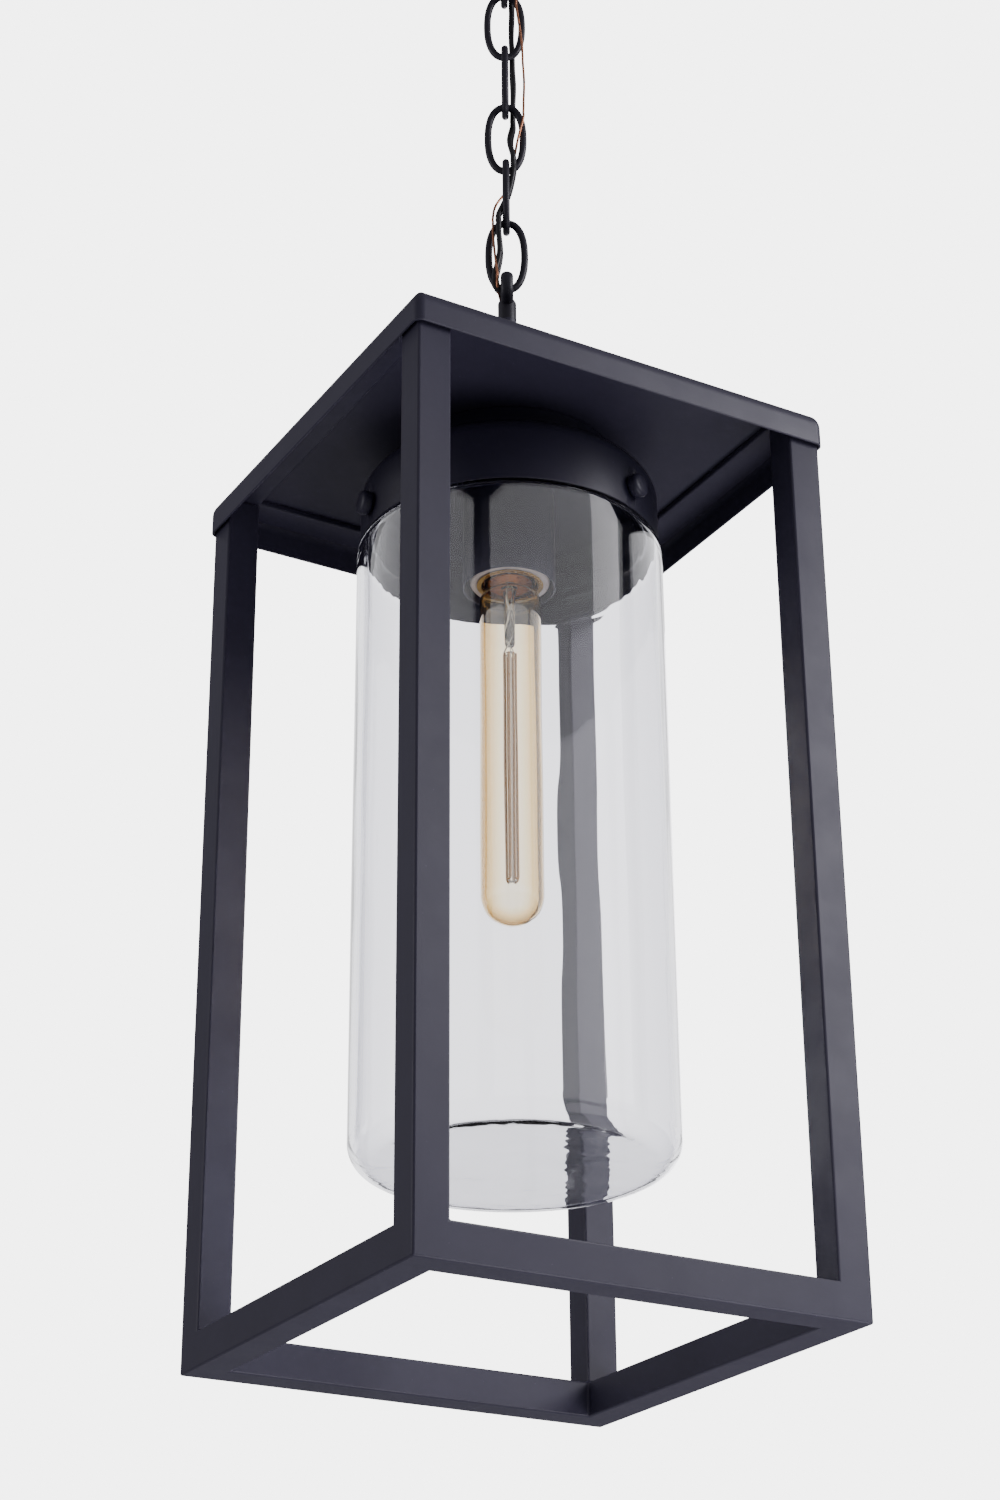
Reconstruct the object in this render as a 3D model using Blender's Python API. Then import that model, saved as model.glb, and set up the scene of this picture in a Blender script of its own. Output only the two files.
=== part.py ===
"""A square lantern with a clear glass cylinder, hung by a short chain from a ceiling canopy.

Metres, +Z up. The ceiling is the plane z = 0 and the lantern hangs below it, so every
height below is measured from the bottom of the frame and turned into z by at().
"""

import math

import bmesh
import bpy
from mathutils import Matrix, Vector

GAP = 0.0003  # clearance between pieces that touch

# The frame, a square cage of steel tube under a pressed roof
DROP = 0.842  # ceiling to the bottom of the frame
FRAME_HALF = 0.110
TUBE = 0.0168
TUBE_WALL = 0.0015
POST_TOP = 0.4456
POST_SHOULDER = 0.4385  # above this the post is drawn in, clear of the roof's bend
TOP_BAR_LOW = 0.4460
TOP_BAR_THICK = 0.0030
TOP_BAR_IN = 0.0172

ROOF_HALF = 0.1123
ROOF_LIP = 0.4319
ROOF_TOP = 0.4506
ROOF_SHEET = 0.0012
ROOF_BEND = 0.0085
ROOF_CORNER = 0.0045

# The stem and the cast eye on top of the roof
STEM_R = 0.00475
STEM_BORE = 0.00365
STEM_FOOT = 0.4190
STEM_TOP = 0.5330
EYE_HALF_THICK = 0.00325
EYE_BAR = 0.0049
EYE_IN_HALF = 0.0080
EYE_IN_LOW = 0.5462

# The fitter that holds the glass, and the lampholder in it
DRUM_R = 0.0525
HOLDER_R = 0.0735
HOLDER_LOW = 0.3960
HOLDER_TOP = 0.4315
HOLDER_SHEET = 0.0012
SCREW_LEVEL = 0.4080
SCREW_HEAD_R = 0.0060
SCREW_AT = (-66, 54, 174)  # degrees round the ring
CUP_R = 0.0226
CUP_LOW = 0.3762
CUP_SHEET = 0.0010
SOCKET_R = 0.0197
SOCKET_LOW = 0.3785
SHELL_R = 0.0146
SHELL_FLANGE = 0.0162

# The glass shade, a tumbler with a straight neck
GLASS_R = 0.0753
GLASS_WALL = 0.0030
GLASS_LOW = 0.0812
GLASS_FOOT_BEND = 0.0120
GLASS_SHOULDER = 0.3896
GLASS_NECK_R = 0.0668
GLASS_TOP = 0.4180

# The tubular filament bulb
BULB_R = 0.0150
BULB_TIP = 0.1990
BULB_NECK = 0.3690
BULB_MOUTH = 0.3830
BULB_MOUTH_R = 0.0122
BULB_WALL = 0.0008
BASE_TOP = 0.4050

# The chain
CHAIN_TURN = math.radians(-29.9)  # the flat of the lowest link, against the frame's sides
LINKS = 6
WIRE = 0.0037
LINK_LONG = 0.0455
LINK_WIDE = 0.0224
LINK_BEND = (LINK_WIDE - WIRE) / 2
PITCH = LINK_LONG - 2 * WIRE - GAP
FIRST_WIRE = 0.55335  # centre of the lowest link's bottom wire

# The canopy at the ceiling
LOOP_WIRE = 0.0060
LOOP_BEND = 0.0115
LOOP_SHANK_R = 0.0110
CANOPY_R = 0.0620
CANOPY_SHEET = 0.0010
COLLAR_LOW = 0.8060
COLLAR_HIGH = 0.8120
CANOPY_LOW = COLLAR_HIGH + GAP

# The wires woven through the chain
CORD_R = 0.0025
EARTH_R = 0.00065
CUT = 0.0023  # half the break that the wires keep at each pivot


def at(height):
    """World z of a height above the bottom of the frame."""
    return height - DROP


def link_wire(number):
    """Height of the centre of a link's bottom wire; the one above the last is the loop's."""
    if number > LINKS:
        top_wire = link_wire(LINKS) + LINK_LONG - WIRE
        return top_wire - WIRE / 2 - GAP - LOOP_WIRE / 2
    return FIRST_WIRE + (number - 1) * PITCH


def finish(name, colour, roughness, metallic, transmission=0.0):
    material = bpy.data.materials.get(name)
    if material is None:
        material = bpy.data.materials.new(name)
        material.use_nodes = True
        shader = material.node_tree.nodes["Principled BSDF"]
        shader.inputs["Base Color"].default_value = (*colour, 1)
        shader.inputs["Roughness"].default_value = roughness
        shader.inputs["Metallic"].default_value = metallic
        shader.inputs["Transmission Weight"].default_value = transmission
        material.diffuse_color = (*colour, 1)
    return material


def grey_paint():
    return finish("grey_paint", (0.058, 0.055, 0.070), 0.5, 0.0)


def brass():
    return finish("brass", (0.60, 0.36, 0.10), 0.3, 1.0)


def steel():
    return finish("zinc_plated_steel", (0.55, 0.55, 0.56), 0.35, 1.0)


def clear_glass():
    return finish("clear_glass", (0.95, 0.96, 0.97), 0.03, 0.0, 1.0)


def bulb_tint():
    return finish("champagne_glass", (0.93, 0.86, 0.74), 0.03, 0.0, 1.0)


def porcelain():
    return finish("porcelain", (0.78, 0.70, 0.64), 0.25, 0.0)


def black_insulation():
    return finish("black_insulation", (0.02, 0.02, 0.021), 0.45, 0.0)


def bare_copper():
    return finish("bare_copper", (0.62, 0.28, 0.15), 0.35, 1.0)


def body(name, pivot=(0, 0, 0), turn=0.0):
    """An empty on a moving body's pivot, turned with the chain where turn says so."""
    empty = bpy.data.objects.new(name, None)
    empty.location = pivot
    empty.rotation_euler.z = turn
    bpy.context.collection.objects.link(empty)
    return empty


def piece(name, mesh_data, material, owner, smooth=True):
    """A named object whose mesh is given in its owner's axes, measured from the world's origin."""
    mesh = bpy.data.meshes.new(name)
    bmesh.ops.recalc_face_normals(mesh_data, faces=mesh_data.faces)
    mesh_data.to_mesh(mesh)
    mesh_data.free()
    mesh.materials.append(material)
    mesh.transform(Matrix.Translation(-pivot_in_owner(owner)))
    if smooth:
        mesh.shade_smooth()
        mesh.set_sharp_from_angle(angle=math.radians(35))
    made = bpy.data.objects.new(name, mesh)
    made.parent = owner
    bpy.context.collection.objects.link(made)
    return made


def pivot_in_owner(owner):
    """The owner's pivot in its own axes, turned back about the world's Z."""
    return Matrix.Rotation(-owner.rotation_euler.z, 3, "Z") @ owner.location


def skin(rings, closed=False):
    """A closed mesh over rings of equal length: end caps, or the last ring joined to the first."""
    made = bmesh.new()
    rows = [[made.verts.new(point) for point in ring] for ring in rings]
    count = len(rows[0])
    pairs = list(zip(rows, rows[1:]))
    if closed:
        pairs.append((rows[-1], rows[0]))
    for low, high in pairs:
        for i in range(count):
            j = (i + 1) % count
            made.faces.new((low[i], low[j], high[j], high[i]))
    if not closed:
        made.faces.new(reversed(rows[0]))
        made.faces.new(rows[-1])
    return made


def turned(outline, steps=32, centre=(0, 0), closed=True):
    """A solid of revolution about Z; an outline that isn't closed starts and ends on flat caps."""
    rings = []
    for radius, height in outline:
        ring = []
        for i in range(steps):
            angle = 2 * math.pi * i / steps
            x = centre[0] + radius * math.cos(angle)
            y = centre[1] + radius * math.sin(angle)
            ring.append((x, y, at(height)))
        rings.append(ring)
    return skin(rings, closed)


def arc(centre_r, centre_z, radius, start, end, steps):
    """Points of an outline round a centre, from one angle to another in degrees."""
    points = []
    for i in range(steps + 1):
        angle = math.radians(start + (end - start) * i / steps)
        points.append((centre_r + radius * math.cos(angle), centre_z + radius * math.sin(angle)))
    return points


def swept(path, half_in, half_out, closed=False, sides=8):
    """A bar of elliptical section along points (across, height) in the plane y = 0."""
    rings = []
    count = len(path)
    for i, (x, z) in enumerate(path):
        before = path[i - 1] if closed or i > 0 else path[i]
        after = path[(i + 1) % count] if closed or i < count - 1 else path[i]
        along = Vector((after[0] - before[0], 0, after[1] - before[1])).normalized()
        out = Vector((along.z, 0, -along.x))
        ring = []
        for k in range(sides):
            angle = 2 * math.pi * (k + 0.5) / sides
            offset = out * (half_in * math.cos(angle))
            ring.append(Vector((x, half_out * math.sin(angle), at(z))) + offset)
        rings.append(ring)
    return skin(rings, closed)


def quarter_turn(mesh_data):
    """Turns a mesh made in the plane y = 0 into the plane x = 0."""
    bmesh.ops.rotate(
        mesh_data, verts=mesh_data.verts, cent=(0, 0, 0), matrix=Matrix.Rotation(math.pi / 2, 3, "Z")
    )
    return mesh_data


def block(low, high):
    """A box between two corners given as (x, y, height)."""
    corners = ((low[0], low[1]), (high[0], low[1]), (high[0], high[1]), (low[0], high[1]))
    return skin([[(x, y, at(h)) for x, y in corners] for h in (low[2], high[2])])


def cut(target, cutter_mesh, owner, join=False):
    """Cuts a shape out of a piece, or joins it on, with a hidden cutter."""
    suffix = "_addition" if join else "_cutter"
    cutter = piece(target.name + suffix + str(len(target.modifiers)), cutter_mesh, grey_paint(), owner)
    cutter.hide_render = True
    cutter.display_type = "WIRE"
    modifier = target.modifiers.new("union" if join else "cut", "BOOLEAN")
    modifier.operation = "UNION" if join else "DIFFERENCE"
    modifier.solver = "EXACT"
    modifier.object = cutter


# The frame


def square_ring(half, height, inset_x=0.0, inset_y=0.0, centre=(0, 0)):
    """Four corners round a centre; the insets draw in the sides that face away from the lantern."""
    out_x = math.copysign(1, centre[0])
    out_y = math.copysign(1, centre[1])
    ring = []
    for sx, sy in ((-1, -1), (1, -1), (1, 1), (-1, 1)):
        x = centre[0] + sx * half - (out_x * inset_x if sx == out_x else 0)
        y = centre[1] + sy * half - (out_y * inset_y if sy == out_y else 0)
        ring.append((x, y, at(height)))
    return ring


def posts(owner):
    middle = FRAME_HALF - TUBE / 2
    inner = TUBE / 2 - TUBE_WALL
    draw = 0.0030
    for name, sx, sy in (
        ("post_front_left", -1, -1),
        ("post_front_right", 1, -1),
        ("post_back_right", 1, 1),
        ("post_back_left", -1, 1),
    ):
        centre = (sx * middle, sy * middle)
        rings = [
            square_ring(TUBE / 2, 0, centre=centre),
            square_ring(TUBE / 2, POST_SHOULDER, centre=centre),
            square_ring(TUBE / 2, POST_TOP, draw, draw, centre),
            square_ring(inner, POST_TOP, draw, draw, centre),
            square_ring(inner, POST_SHOULDER, centre=centre),
            square_ring(inner, TUBE_WALL, centre=centre),
        ]
        piece(name, skin(rings), grey_paint(), owner, smooth=False)


def bottom_rails(owner):
    """Square tubes between the posts, open at both ends."""
    middle = FRAME_HALF - TUBE / 2
    reach = FRAME_HALF - TUBE - GAP
    for name, turn in (
        ("bottom_rail_front", 0),
        ("bottom_rail_right", 90),
        ("bottom_rail_back", 180),
        ("bottom_rail_left", 270),
    ):
        rings = []
        for x, half in (
            (-reach, TUBE / 2),
            (reach, TUBE / 2),
            (reach, TUBE / 2 - TUBE_WALL),
            (-reach, TUBE / 2 - TUBE_WALL),
        ):
            ring = []
            for sy, sz in ((-1, -1), (1, -1), (1, 1), (-1, 1)):
                ring.append((x, -middle + sy * half, at(TUBE / 2 + sz * half)))
            rings.append(ring)
        rail = skin(rings, closed=True)
        spin = Matrix.Rotation(math.radians(turn), 3, "Z")
        bmesh.ops.rotate(rail, verts=rail.verts, cent=(0, 0, 0), matrix=spin)
        piece(name, rail, grey_paint(), owner, smooth=False)


def top_frame(owner):
    """A welded ring of flat bar on the posts, its outer edge cut back under the roof's bend."""
    low = TOP_BAR_LOW
    high = TOP_BAR_LOW + TOP_BAR_THICK
    inside = FRAME_HALF - TOP_BAR_IN
    section = (
        (inside, low),
        (FRAME_HALF - 0.0012, low),
        (FRAME_HALF - 0.0058, high),
        (inside, high),
    )
    rings = []
    for half, height in section:
        rings.append([(sx * half, sy * half, at(height)) for sx, sy in ((-1, -1), (1, -1), (1, 1), (-1, 1))])
    piece("top_frame", skin(rings, closed=True), grey_paint(), owner, smooth=False)


def rounded_square(half, radius, height, steps=3):
    ring = []
    for corner, (sx, sy) in enumerate(((1, 1), (-1, 1), (-1, -1), (1, -1))):
        for i in range(steps + 1):
            angle = math.radians(90 * corner + 90 * i / steps)
            x = sx * (half - radius) + radius * math.cos(angle)
            y = sy * (half - radius) + radius * math.sin(angle)
            ring.append((x, y, at(height)))
    return ring


def roof_cap(owner):
    """A shallow pan of sheet steel with a bent edge and a turned-down lip."""
    bend = arc(ROOF_HALF - ROOF_BEND, ROOF_TOP - ROOF_BEND, ROOF_BEND, 0, 90, 5)
    inner = arc(ROOF_HALF - ROOF_BEND, ROOF_TOP - ROOF_BEND, ROOF_BEND - ROOF_SHEET, 90, 0, 4)
    outline = [(ROOF_HALF, ROOF_LIP)] + bend
    outline += inner + [(ROOF_HALF - ROOF_SHEET, ROOF_LIP)]
    smallest = 0.0008
    rings = []
    for half, height in outline:
        radius = max(ROOF_CORNER - (ROOF_HALF - half), smallest)
        rings.append(rounded_square(half, radius, height))
    outer_count = 1 + len(bend)
    made = bmesh.new()
    rows = [[made.verts.new(point) for point in ring] for ring in rings]
    count = len(rows[0])
    for index in range(len(rows)):
        if index == outer_count - 1:
            continue
        low = rows[index]
        high = rows[(index + 1) % len(rows)]
        for i in range(count):
            j = (i + 1) % count
            made.faces.new((low[i], low[j], high[j], high[i]))
    made.faces.new(rows[outer_count - 1])
    made.faces.new(reversed(rows[outer_count]))
    cap = piece("roof_cap", made, grey_paint(), owner)
    hole = turned([(STEM_R + GAP, ROOF_TOP - 0.01), (STEM_R + GAP, ROOF_TOP + 0.01)], 24, closed=False)
    cut(cap, hole, owner)


# The stem and the eye


def stem(owner):
    outline = [
        (STEM_BORE, STEM_FOOT),
        (STEM_R, STEM_FOOT),
        (STEM_R, STEM_TOP),
        (STEM_BORE, STEM_TOP),
    ]
    piece("stem_tube", turned(outline, 20), grey_paint(), owner)
    high = HOLDER_TOP - HOLDER_SHEET - GAP - CUP_SHEET - GAP
    bore = (STEM_R + GAP) / math.cos(math.radians(30))
    nut = [(bore, high - 0.0045), (0.0090, high - 0.0045), (0.0090, high), (bore, high)]
    piece("stem_nut", turned(nut, 6), steel(), owner, smooth=False)


def hanging_eye(owner):
    """A cast ring standing across the lowest link's wire, on a round neck over the stem."""
    inner_top = FIRST_WIRE + WIRE / 2 + GAP
    half_tall = (inner_top - EYE_IN_LOW + EYE_BAR) / 2
    middle = (inner_top + EYE_IN_LOW) / 2
    half_wide = EYE_IN_HALF + EYE_BAR / 2
    path = []
    steps = 22
    for i in range(steps):
        angle = 2 * math.pi * (i + 0.5) / steps
        c, s = math.cos(angle), math.sin(angle)
        squareness = 0.72
        x = half_wide * math.copysign(abs(c) ** squareness, c)
        z = middle + half_tall * math.copysign(abs(s) ** squareness, s)
        path.append((x, z))
    ring = quarter_turn(swept(path, EYE_BAR / 2, EYE_HALF_THICK, closed=True, sides=8))
    eye = piece("hanging_eye", ring, grey_paint(), owner)
    neck = [(STEM_R, STEM_TOP + GAP), (STEM_R, EYE_IN_LOW - 0.0015), (STEM_R - 0.0015, EYE_IN_LOW)]
    cut(eye, turned(neck, 20, closed=False), owner, join=True)
    for route, radius in ((supply_route(0), CORD_R), (earth_route(0), EARTH_R)):
        channel = tube(route, radius + 0.0004, overrun=0.003)
        cut(eye, channel, owner)


# The fitter, the lampholder and the glass


def holder(owner):
    low = HOLDER_LOW
    top = HOLDER_TOP
    bend = 0.0090
    outer = arc(HOLDER_R - bend, top - bend, bend, 0, 90, 4)
    inner = arc(HOLDER_R - bend, top - bend, bend - HOLDER_SHEET, 90, 0, 3)
    rim = [(HOLDER_R - HOLDER_SHEET, low), (HOLDER_R, low)]
    hub = [(0.0060, top), (0.0060, top - HOLDER_SHEET)]
    shade_holder = piece("shade_holder", turned(rim + outer + hub + inner, 36), grey_paint(), owner)
    for angle in SCREW_AT:
        cut(shade_holder, radial_pin(angle, 0.0023, HOLDER_R - 0.006, HOLDER_R + 0.004), owner)
    high = TOP_BAR_LOW + TOP_BAR_THICK - GAP
    drum = [
        (DRUM_R - HOLDER_SHEET, top + GAP),
        (DRUM_R, top + GAP),
        (DRUM_R, high),
        (STEM_R + GAP * 2, high),
        (STEM_R + GAP * 2, high - HOLDER_SHEET),
        (DRUM_R - HOLDER_SHEET, high - HOLDER_SHEET),
    ]
    piece("holder_drum", turned(drum, 32), grey_paint(), owner)


def radial_pin(angle, radius, start, end, sides=10, tip=None):
    """A round bar that lies along a radius of the lantern, at the thumbscrews' level."""
    rings = []
    ends = ((start, radius if tip is None else tip), (end, radius))
    for distance, r in ends:
        ring = []
        for k in range(sides):
            turn = 2 * math.pi * k / sides
            ring.append((distance, r * math.cos(turn), at(SCREW_LEVEL) + r * math.sin(turn)))
        rings.append(ring)
    made = skin(rings)
    spin = Matrix.Rotation(math.radians(angle), 3, "Z")
    bmesh.ops.rotate(made, verts=made.verts, cent=(0, 0, 0), matrix=spin)
    return made


def thumbscrews():
    """Three round-headed screws with soft tips that bear on the glass's neck."""
    tip_end = GLASS_NECK_R + GAP
    tip_root = tip_end + 0.0024
    for number, angle in enumerate(SCREW_AT, 1):
        where = Matrix.Rotation(math.radians(angle), 3, "Z") @ Vector((HOLDER_R, 0, 0))
        owner = body(f"screw_{number}_axis", (where.x, where.y, at(SCREW_LEVEL)))
        tip = radial_pin(angle, 0.0016, tip_end, tip_root)
        piece(f"thumbscrew_tip_{number}", tip, finish("nylon", (0.6, 0.6, 0.57), 0.5, 0.0), owner)
        rings = []
        head = HOLDER_R + 0.0008
        outline = (
            (tip_root + GAP, 0.0016),
            (tip_root + GAP + 0.0004, 0.0020),
            (head, 0.0020),
            (head, SCREW_HEAD_R - 0.0008),
            (head + 0.0010, SCREW_HEAD_R),
            (head + 0.0042, SCREW_HEAD_R),
            (head + 0.0052, SCREW_HEAD_R - 0.0010),
        )
        sides = 14
        for distance, r in outline:
            ring = []
            for k in range(sides):
                turn = 2 * math.pi * k / sides
                ring.append((distance, r * math.cos(turn), at(SCREW_LEVEL) + r * math.sin(turn)))
            rings.append(ring)
        screw = skin(rings)
        spin = Matrix.Rotation(math.radians(angle), 3, "Z")
        bmesh.ops.rotate(screw, verts=screw.verts, cent=(0, 0, 0), matrix=spin)
        piece(f"thumbscrew_{number}", screw, grey_paint(), owner)


def lampholder(owner):
    top = HOLDER_TOP - HOLDER_SHEET - GAP
    sheet = CUP_SHEET
    cup = [
        (CUP_R - sheet, CUP_LOW),
        (CUP_R, CUP_LOW),
        (CUP_R, top - 0.0020),
        (CUP_R - 0.0020, top),
        (0.0060, top),
        (0.0060, top - sheet),
        (CUP_R - sheet - 0.0015, top - sheet),
        (CUP_R - sheet, top - sheet - 0.0015),
    ]
    piece("socket_cup", turned(cup, 28), grey_paint(), owner)
    floor = top - 0.0145
    body_outline = [
        (SHELL_R + GAP, SOCKET_LOW),
        (SOCKET_R - 0.0010, SOCKET_LOW),
        (SOCKET_R, SOCKET_LOW + 0.0010),
        (SOCKET_R, floor),
        (0.0050, floor),
        (0.0050, floor - 0.0060),
        (SHELL_R + GAP, floor - 0.0060),
    ]
    piece("socket_porcelain", turned(body_outline, 24), porcelain(), owner)
    shell_wall = 0.0006
    shell_top = floor - 0.0060 - GAP
    low = SOCKET_LOW - GAP - 0.0006
    shell = [
        (SHELL_R - shell_wall, low),
        (SHELL_FLANGE, low),
        (SHELL_FLANGE, low + 0.0006),
        (SHELL_R, low + 0.0006),
        (SHELL_R, shell_top),
        (SHELL_R - shell_wall, shell_top),
    ]
    piece("socket_shell", turned(shell, 20), brass(), owner)
    contact = [(0.0030, BASE_TOP + 0.0014), (0.0042, BASE_TOP + 0.0014)]
    contact += [(0.0042, floor + 0.0006), (0.0030, floor + 0.0006)]
    piece("socket_contact", turned(contact, 12), brass(), owner)


def glass_shade():
    """Closed below, open at the neck, with a soft foot and a soft shoulder."""
    owner = body("shade_axis", (0, 0, at(GLASS_TOP)))
    r, wall, foot = GLASS_R, GLASS_WALL, GLASS_FOOT_BEND
    shoulder_r = 0.0070
    outline = [(0.0, GLASS_LOW)]
    outline += arc(r - foot, GLASS_LOW + foot, foot, -90, 0, 5)
    outline += arc(r - shoulder_r, GLASS_SHOULDER - 0.0010, shoulder_r, 0, 75, 3)
    outline += [(GLASS_NECK_R, GLASS_SHOULDER + 0.0085), (GLASS_NECK_R, GLASS_TOP)]
    outline += [(GLASS_NECK_R - wall, GLASS_TOP), (GLASS_NECK_R - wall, GLASS_SHOULDER + 0.0070)]
    outline += arc(r - shoulder_r, GLASS_SHOULDER - 0.0010, shoulder_r - wall, 75, 0, 2)
    outline += arc(r - foot, GLASS_LOW + foot, foot - wall, 0, -90, 4)
    outline.append((0.0, GLASS_LOW + wall))
    piece("glass_shade", spun(outline, 36), clear_glass(), owner)


def spun(outline, steps):
    """A solid of revolution whose outline starts and ends on the axis."""
    made = bmesh.new()
    verts = [made.verts.new((radius, 0, at(height))) for radius, height in outline]
    edges = [made.edges.new(pair) for pair in zip(verts, verts[1:])]
    bmesh.ops.spin(
        made,
        geom=verts + edges,
        cent=(0, 0, 0),
        axis=(0, 0, 1),
        angle=2 * math.pi,
        steps=steps,
        use_merge=True,
    )
    bmesh.ops.remove_doubles(made, verts=made.verts, dist=1e-6)
    return made


def bulb():
    turning = body("bulb_axis", (0, 0, at(BASE_TOP)))
    r, wall = BULB_R, BULB_WALL
    outline = [(0.0, BULB_TIP)]
    outline += arc(0, BULB_TIP + r, r, -75, 0, 4)
    outline += [(r, BULB_NECK), (BULB_MOUTH_R, BULB_MOUTH - 0.0040), (BULB_MOUTH_R, BULB_MOUTH)]
    outline += [(BULB_MOUTH_R - wall, BULB_MOUTH), (BULB_MOUTH_R - wall, BULB_MOUTH - 0.0042)]
    outline += [(r - wall, BULB_NECK)]
    outline += arc(0, BULB_TIP + r, r - wall, 0, -75, 4)
    outline.append((0.0, BULB_TIP + wall))
    piece("bulb_envelope", spun(outline, 20), bulb_tint(), turning)
    base_r, base_wall = 0.0131, 0.0005
    base_low = BULB_MOUTH - 0.0030
    base = [
        (base_r - base_wall, base_low),
        (base_r, base_low),
        (base_r, BASE_TOP - 0.0060),
        (0.0062, BASE_TOP - 0.0022),
        (0.0062, BASE_TOP - 0.0028),
        (base_r - base_wall, BASE_TOP - 0.0066),
    ]
    piece("bulb_base", turned(base, 20), brass(), turning)
    flare_high = BULB_MOUTH + 0.0030
    tip_low = flare_high - 0.0420
    mount = [(0.0, tip_low), (0.0022, tip_low + 0.0008), (0.0026, flare_high - 0.0140)]
    mount += [(0.0070, flare_high - 0.0040), (0.0100, flare_high), (0.0, flare_high)]
    piece("bulb_stem", spun(mount, 16), clear_glass(), turning)
    filament_low = BULB_TIP + 0.0220
    loop_half = 0.0045
    path = [(-0.0012, tip_low - GAP), (-loop_half, tip_low - 0.0180), (-loop_half, filament_low)]
    path += [(loop_half, filament_low), (loop_half, tip_low - 0.0180), (0.0012, tip_low - GAP)]
    piece("bulb_filament", swept(path, 0.0004, 0.0004, sides=4), bare_copper(), turning)
    insulator = [(0.0, BASE_TOP - 0.0020), (0.0058, BASE_TOP - 0.0020), (0.0050, BASE_TOP)]
    insulator += [(0.0036, BASE_TOP + 0.0008), (0.0, BASE_TOP + 0.0011)]
    piece("bulb_contact", spun(insulator, 16), brass(), turning)


# The chain


def link_path():
    """The centre line of a link, from its bottom wire at height 0 to its top wire."""
    half = LINK_LONG / 2 - WIRE / 2 - LINK_BEND
    middle = (LINK_LONG - WIRE) / 2
    points = []
    for centre, start in ((middle + half, 0), (middle - half, 180)):
        for i in range(9):
            angle = math.radians(start + 180 * i / 8)
            points.append((LINK_BEND * math.cos(angle), centre + LINK_BEND * math.sin(angle)))
    return points


def chain():
    for number in range(1, LINKS + 1):
        owner = body(f"chain_link_{number}_axis", (0, 0, at(link_wire(number + 1))), CHAIN_TURN)
        path = [(x, z + link_wire(number)) for x, z in link_path()]
        link = swept(path, WIRE / 2, WIRE / 2, closed=True)
        if number % 2 == 0:
            link = quarter_turn(link)
        piece(f"chain_link_{number}", link, grey_paint(), owner)


# The wires through the chain, each cut at the pivots so that it rides on one link

# Points (across, away, height) in the chain's own axes
BORE_SUPPLY = (0.0007, 0.0)
BORE_EARTH = (-0.0028, 0.0)
CORNER = 0.0050  # the wires pass each crossing of two links in one of its corners


def supply_route(number):
    """The pair of insulated wires on body number: 0 is the lantern, LINKS + 1 the canopy."""
    low = link_wire(number) + CUT if number else None
    high = link_wire(number + 1) - CUT
    if number == 0:
        points = [
            (BORE_SUPPLY[0], BORE_SUPPLY[1], STEM_FOOT - 0.0014),
            (BORE_SUPPLY[0], BORE_SUPPLY[1], STEM_TOP),
            (0.0004, -0.0006, EYE_IN_LOW - 0.0070),
            (-0.0006, -0.0030, EYE_IN_LOW - 0.0005),
            (-0.0034, -0.0051, high - 0.0022),
            (-0.0063, -0.0055, high),
        ]
        return points
    if number == LINKS + 1:
        points = [
            (CORNER, 0.0062, low),
            (CORNER, 0.0052, low + 0.0055),
            (0.0020, 0.0015, low + 0.0140),
            (BORE_SUPPLY[0], BORE_SUPPLY[1], low + 0.0205),
            (BORE_SUPPLY[0], BORE_SUPPLY[1], DROP - 0.0010),
        ]
        return points
    middle = (low + high) / 2
    corners = {
        6: ((CORNER, CORNER), (0.0052, 0.0056), (CORNER, 0.0062)),
        5: ((CORNER, CORNER), (0.0050, 0.0052), (CORNER, CORNER)),
        4: ((CORNER, CORNER), (0.0056, 0.0053), (CORNER, CORNER)),
        3: ((CORNER, -CORNER), (0.0018, 0.0), (CORNER, CORNER)),
        2: ((-CORNER, -CORNER), (0.0, -0.0047), (CORNER, -CORNER)),
        1: ((-0.0063, -0.0055), (-0.0054, -0.0056), (-CORNER, -CORNER)),
    }[number]
    return [
        (*corners[0], low),
        (*corners[0], low + 0.0030),
        (*corners[1], middle),
        (*corners[2], high - 0.0030),
        (*corners[2], high),
    ]


def earth_route(number):
    """The bare wire on body number."""
    low = link_wire(number) + CUT if number else None
    high = link_wire(number + 1) - CUT
    if number == 0:
        points = [
            (BORE_EARTH[0], BORE_EARTH[1], STEM_FOOT - 0.0014),
            (BORE_EARTH[0], BORE_EARTH[1], STEM_TOP + 0.0020),
            (-0.0030, 0.0018, EYE_IN_LOW - 0.0020),
            (-0.0038, 0.0040, high - 0.0020),
            (-0.0044, 0.0044, high),
        ]
        return points
    if number == LINKS + 1:
        points = [
            (0.0052, -0.0048, low),
            (0.0048, -0.0044, low + 0.0060),
            (-0.0010, -0.0020, low + 0.0150),
            (BORE_EARTH[0], BORE_EARTH[1], low + 0.0215),
            (BORE_EARTH[0], BORE_EARTH[1], DROP - 0.0010),
        ]
        return points
    middle = (low + high) / 2
    places = {
        6: ((0.0068, -0.0032), (0.0064, -0.0038), (0.0052, -0.0048)),
        5: ((0.0094, -0.0034), (0.0084, -0.0032), (0.0068, -0.0032)),
        4: ((0.0098, -0.0034), (0.0102, -0.0030), (0.0096, -0.0034)),
        3: ((0.0036, 0.0040), (0.0064, -0.0016), (0.0100, -0.0034)),
        2: ((-0.0044, 0.0036), (0.0, 0.0042), (0.0036, 0.0040)),
        1: ((-0.0044, 0.0044), (-0.0050, 0.0040), (-0.0044, 0.0036)),
    }[number]
    return [
        (*places[0], low),
        (*places[0], low + 0.0030),
        (*places[1], middle),
        (*places[2], high - 0.0030),
        (*places[2], high),
    ]


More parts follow.
